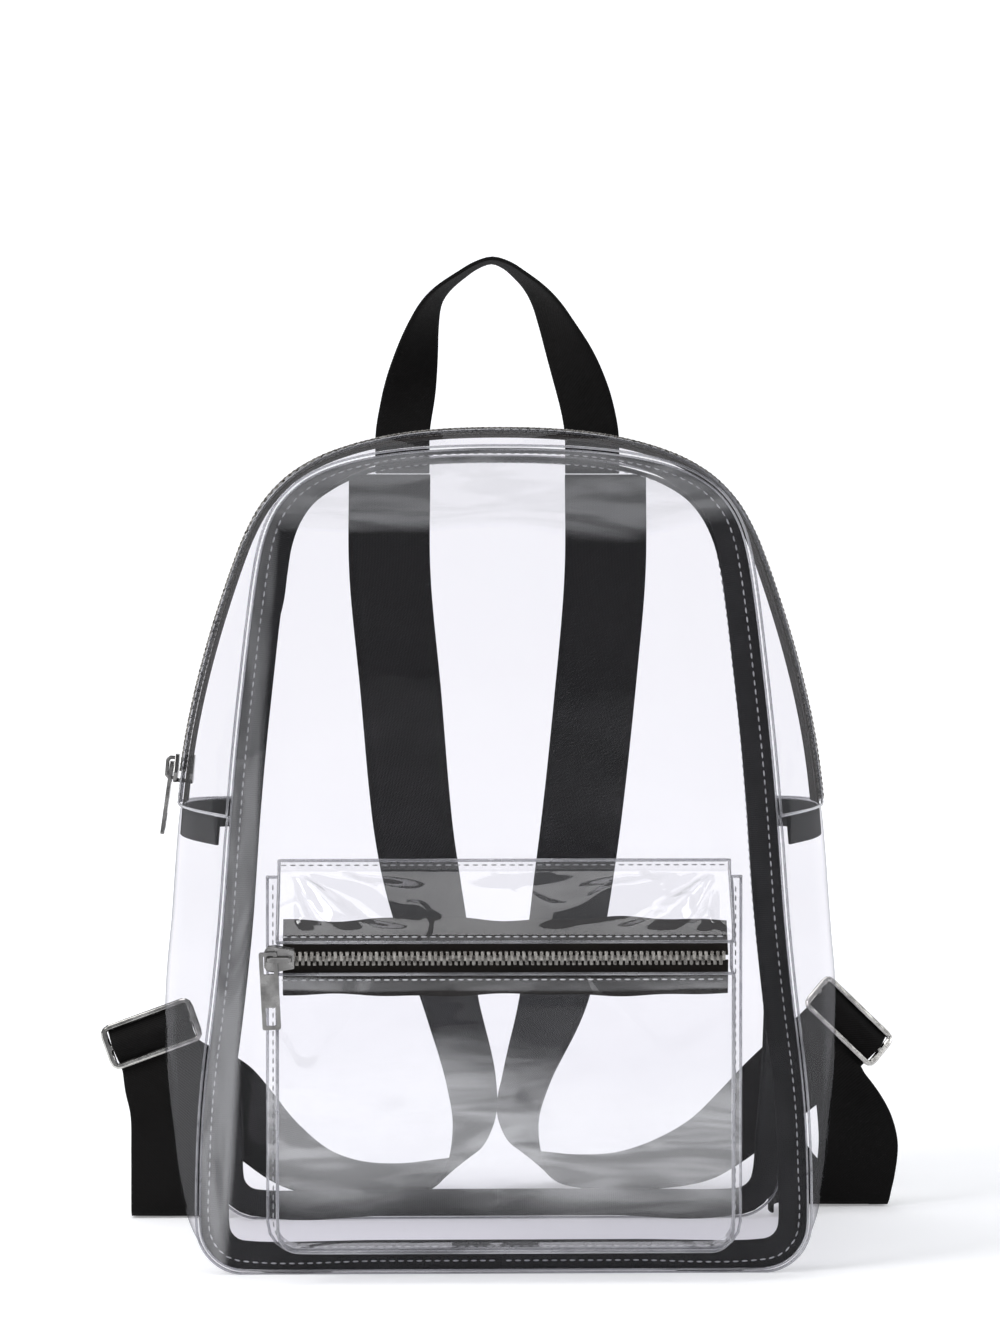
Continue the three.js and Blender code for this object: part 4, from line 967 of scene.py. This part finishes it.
metalNodes = {
    "main_slider": {"radius": 0.0003, "look": silverLook},
    "pocket_slider": {"radius": 0.0003, "look": silverLook},
    "main_pull": {"radius": 0.0003, "look": silverLook},
    "pocket_pull": {"radius": 0.0003, "look": silverLook},
    "buckle_left": {"radius": 0.0002, "look": buckleLook},
    "buckle_right": {"radius": 0.0002, "look": buckleLook},
}
for node, settings in metalNodes.items():
    part = nodes[node]
    part.material_slots[0].link = "OBJECT"
    part.material_slots[0].material = settings["look"]
    weld = part.modifiers.new("weld", "WELD")
    weld.merge_threshold = 2e-6
    edge = part.modifiers.new("softEdges", "BEVEL")
    edge.width = settings["radius"]
    edge.segments = 2
    edge.limit_method = "ANGLE"
    edge.angle_limit = math.radians(35)
    edge.use_clamp_overlap = True
print("metal dressed")


# Floor, lights and camera

def stageMaterial():
    material, work, output = newMaterial("studioWhite")
    place = work.add("ShaderNodeTexCoord")
    wear = useGroup(work, wearGroup, Vector=place.outputs["Object"], Patch=2.0, Grain=50.0)
    tone = work.mixColor(wear.outputs["Mottle"], (0.86, 0.87, 0.89, 1), (0.88, 0.885, 0.9, 1))
    paper = work.add("ShaderNodeBsdfPrincipled", Base_Color=tone, Roughness=0.9)
    paper.inputs["Specular IOR Level"].default_value = 0.0
    paper.inputs["Emission Color"].default_value = (1.0, 1.0, 1.0, 1)
    split = work.add("ShaderNodeSeparateXYZ", Vector=place.outputs["Object"])
    floorGlow = work.ramp(split.outputs[1], 0.15, 1.1, *stageSettings["glow"])
    wallGlow = work.ramp(split.outputs[1], 0.9, 2.4, 0.0, stageSettings["wallGlow"])
    work.feed(paper, "Emission Strength", work.math("ADD", floorGlow, wallGlow))
    work.feed(output, "Surface", paper.outputs[0])
    return material


stageSettings = {"width": 12.0, "near": -3.0, "far": 3.2, "rise": 4.0, "round": 1.2,
                 "glow": (0.27, 0.5), "wallGlow": 0.12}
deselectAll()
bpy.ops.mesh.primitive_plane_add(size=1)
cove = bpy.context.active_object
cove.name = "studioCove"
for vertex in cove.data.vertices:
    vertex.co.x *= stageSettings["width"]
    vertex.co.y = stageSettings["far"] if vertex.co.y > 0 else stageSettings["near"]
bpy.ops.object.mode_set(mode="EDIT")
bpy.ops.mesh.select_all(action="DESELECT")
shape = bmesh.from_edit_mesh(cove.data)
for edge in shape.edges:
    if all(v.co.y > 1 for v in edge.verts):
        edge.select_set(True)
bmesh.update_edit_mesh(cove.data)
bpy.ops.mesh.extrude_region_move(
    TRANSFORM_OT_translate={"value": (0, 0, stageSettings["rise"])})
bpy.ops.mesh.select_all(action="DESELECT")
shape = bmesh.from_edit_mesh(cove.data)
for edge in shape.edges:
    if all(v.co.y > 1 and v.co.z < 0.01 for v in edge.verts):
        edge.select_set(True)
bmesh.update_edit_mesh(cove.data)
bpy.ops.mesh.bevel(offset=stageSettings["round"], segments=16)
bpy.ops.object.mode_set(mode="OBJECT")
bpy.ops.object.shade_smooth_by_angle(angle=math.radians(30))
cove.data.materials.append(stageMaterial())

lightSettings = {
    "leftSoftbox": {"at": (-1.5, -0.9, 1.1), "aim": (0, 0, 0.15), "size": (0.6, 1.4), "power": 26},
    "rightSoftbox": {"at": (1.7, -0.7, 1.0), "aim": (0, 0, 0.15), "size": (0.5, 1.3), "power": 8},
    "topSoftbox": {"at": (-0.3, -0.1, 1.7), "aim": (0, 0, 0.1), "size": (1.2, 1.2), "power": 11},
}
for name, settings in lightSettings.items():
    lamp = bpy.data.lights.new(name, "AREA")
    lamp.shape = "RECTANGLE"
    lamp.size, lamp.size_y = settings["size"]
    lamp.energy = settings["power"]
    holder = bpy.data.objects.new(name, lamp)
    scene.collection.objects.link(holder)
    holder.location = settings["at"]
    aim = Vector(settings["aim"]) - Vector(settings["at"])
    holder.rotation_euler = aim.to_track_quat("-Z", "Y").to_euler()

world = bpy.data.worlds.new("studio")
world.use_nodes = True
world.node_tree.nodes["Background"].inputs[0].default_value = (0.93, 0.95, 1.0, 1)
world.node_tree.nodes["Background"].inputs[1].default_value = 0.25
scene.world = world
scene.view_settings.view_transform = "Standard"

cameraSettings = {"at": (-0.03, -1.32, 0.237), "down": 1.36, "right": 1.29, "lens": 100.7}
camera = bpy.data.objects.new("camera", bpy.data.cameras.new("camera"))
scene.collection.objects.link(camera)
camera.location = cameraSettings["at"]
camera.rotation_euler = (math.radians(90 - cameraSettings["down"]), 0,
                         -math.radians(cameraSettings["right"]))
camera.data.sensor_width = 36
camera.data.lens = cameraSettings["lens"]
camera.data.clip_start = 0.05
camera.data.clip_end = 30
scene.camera = camera
print("stage, lights and camera placed")

deselectAll()
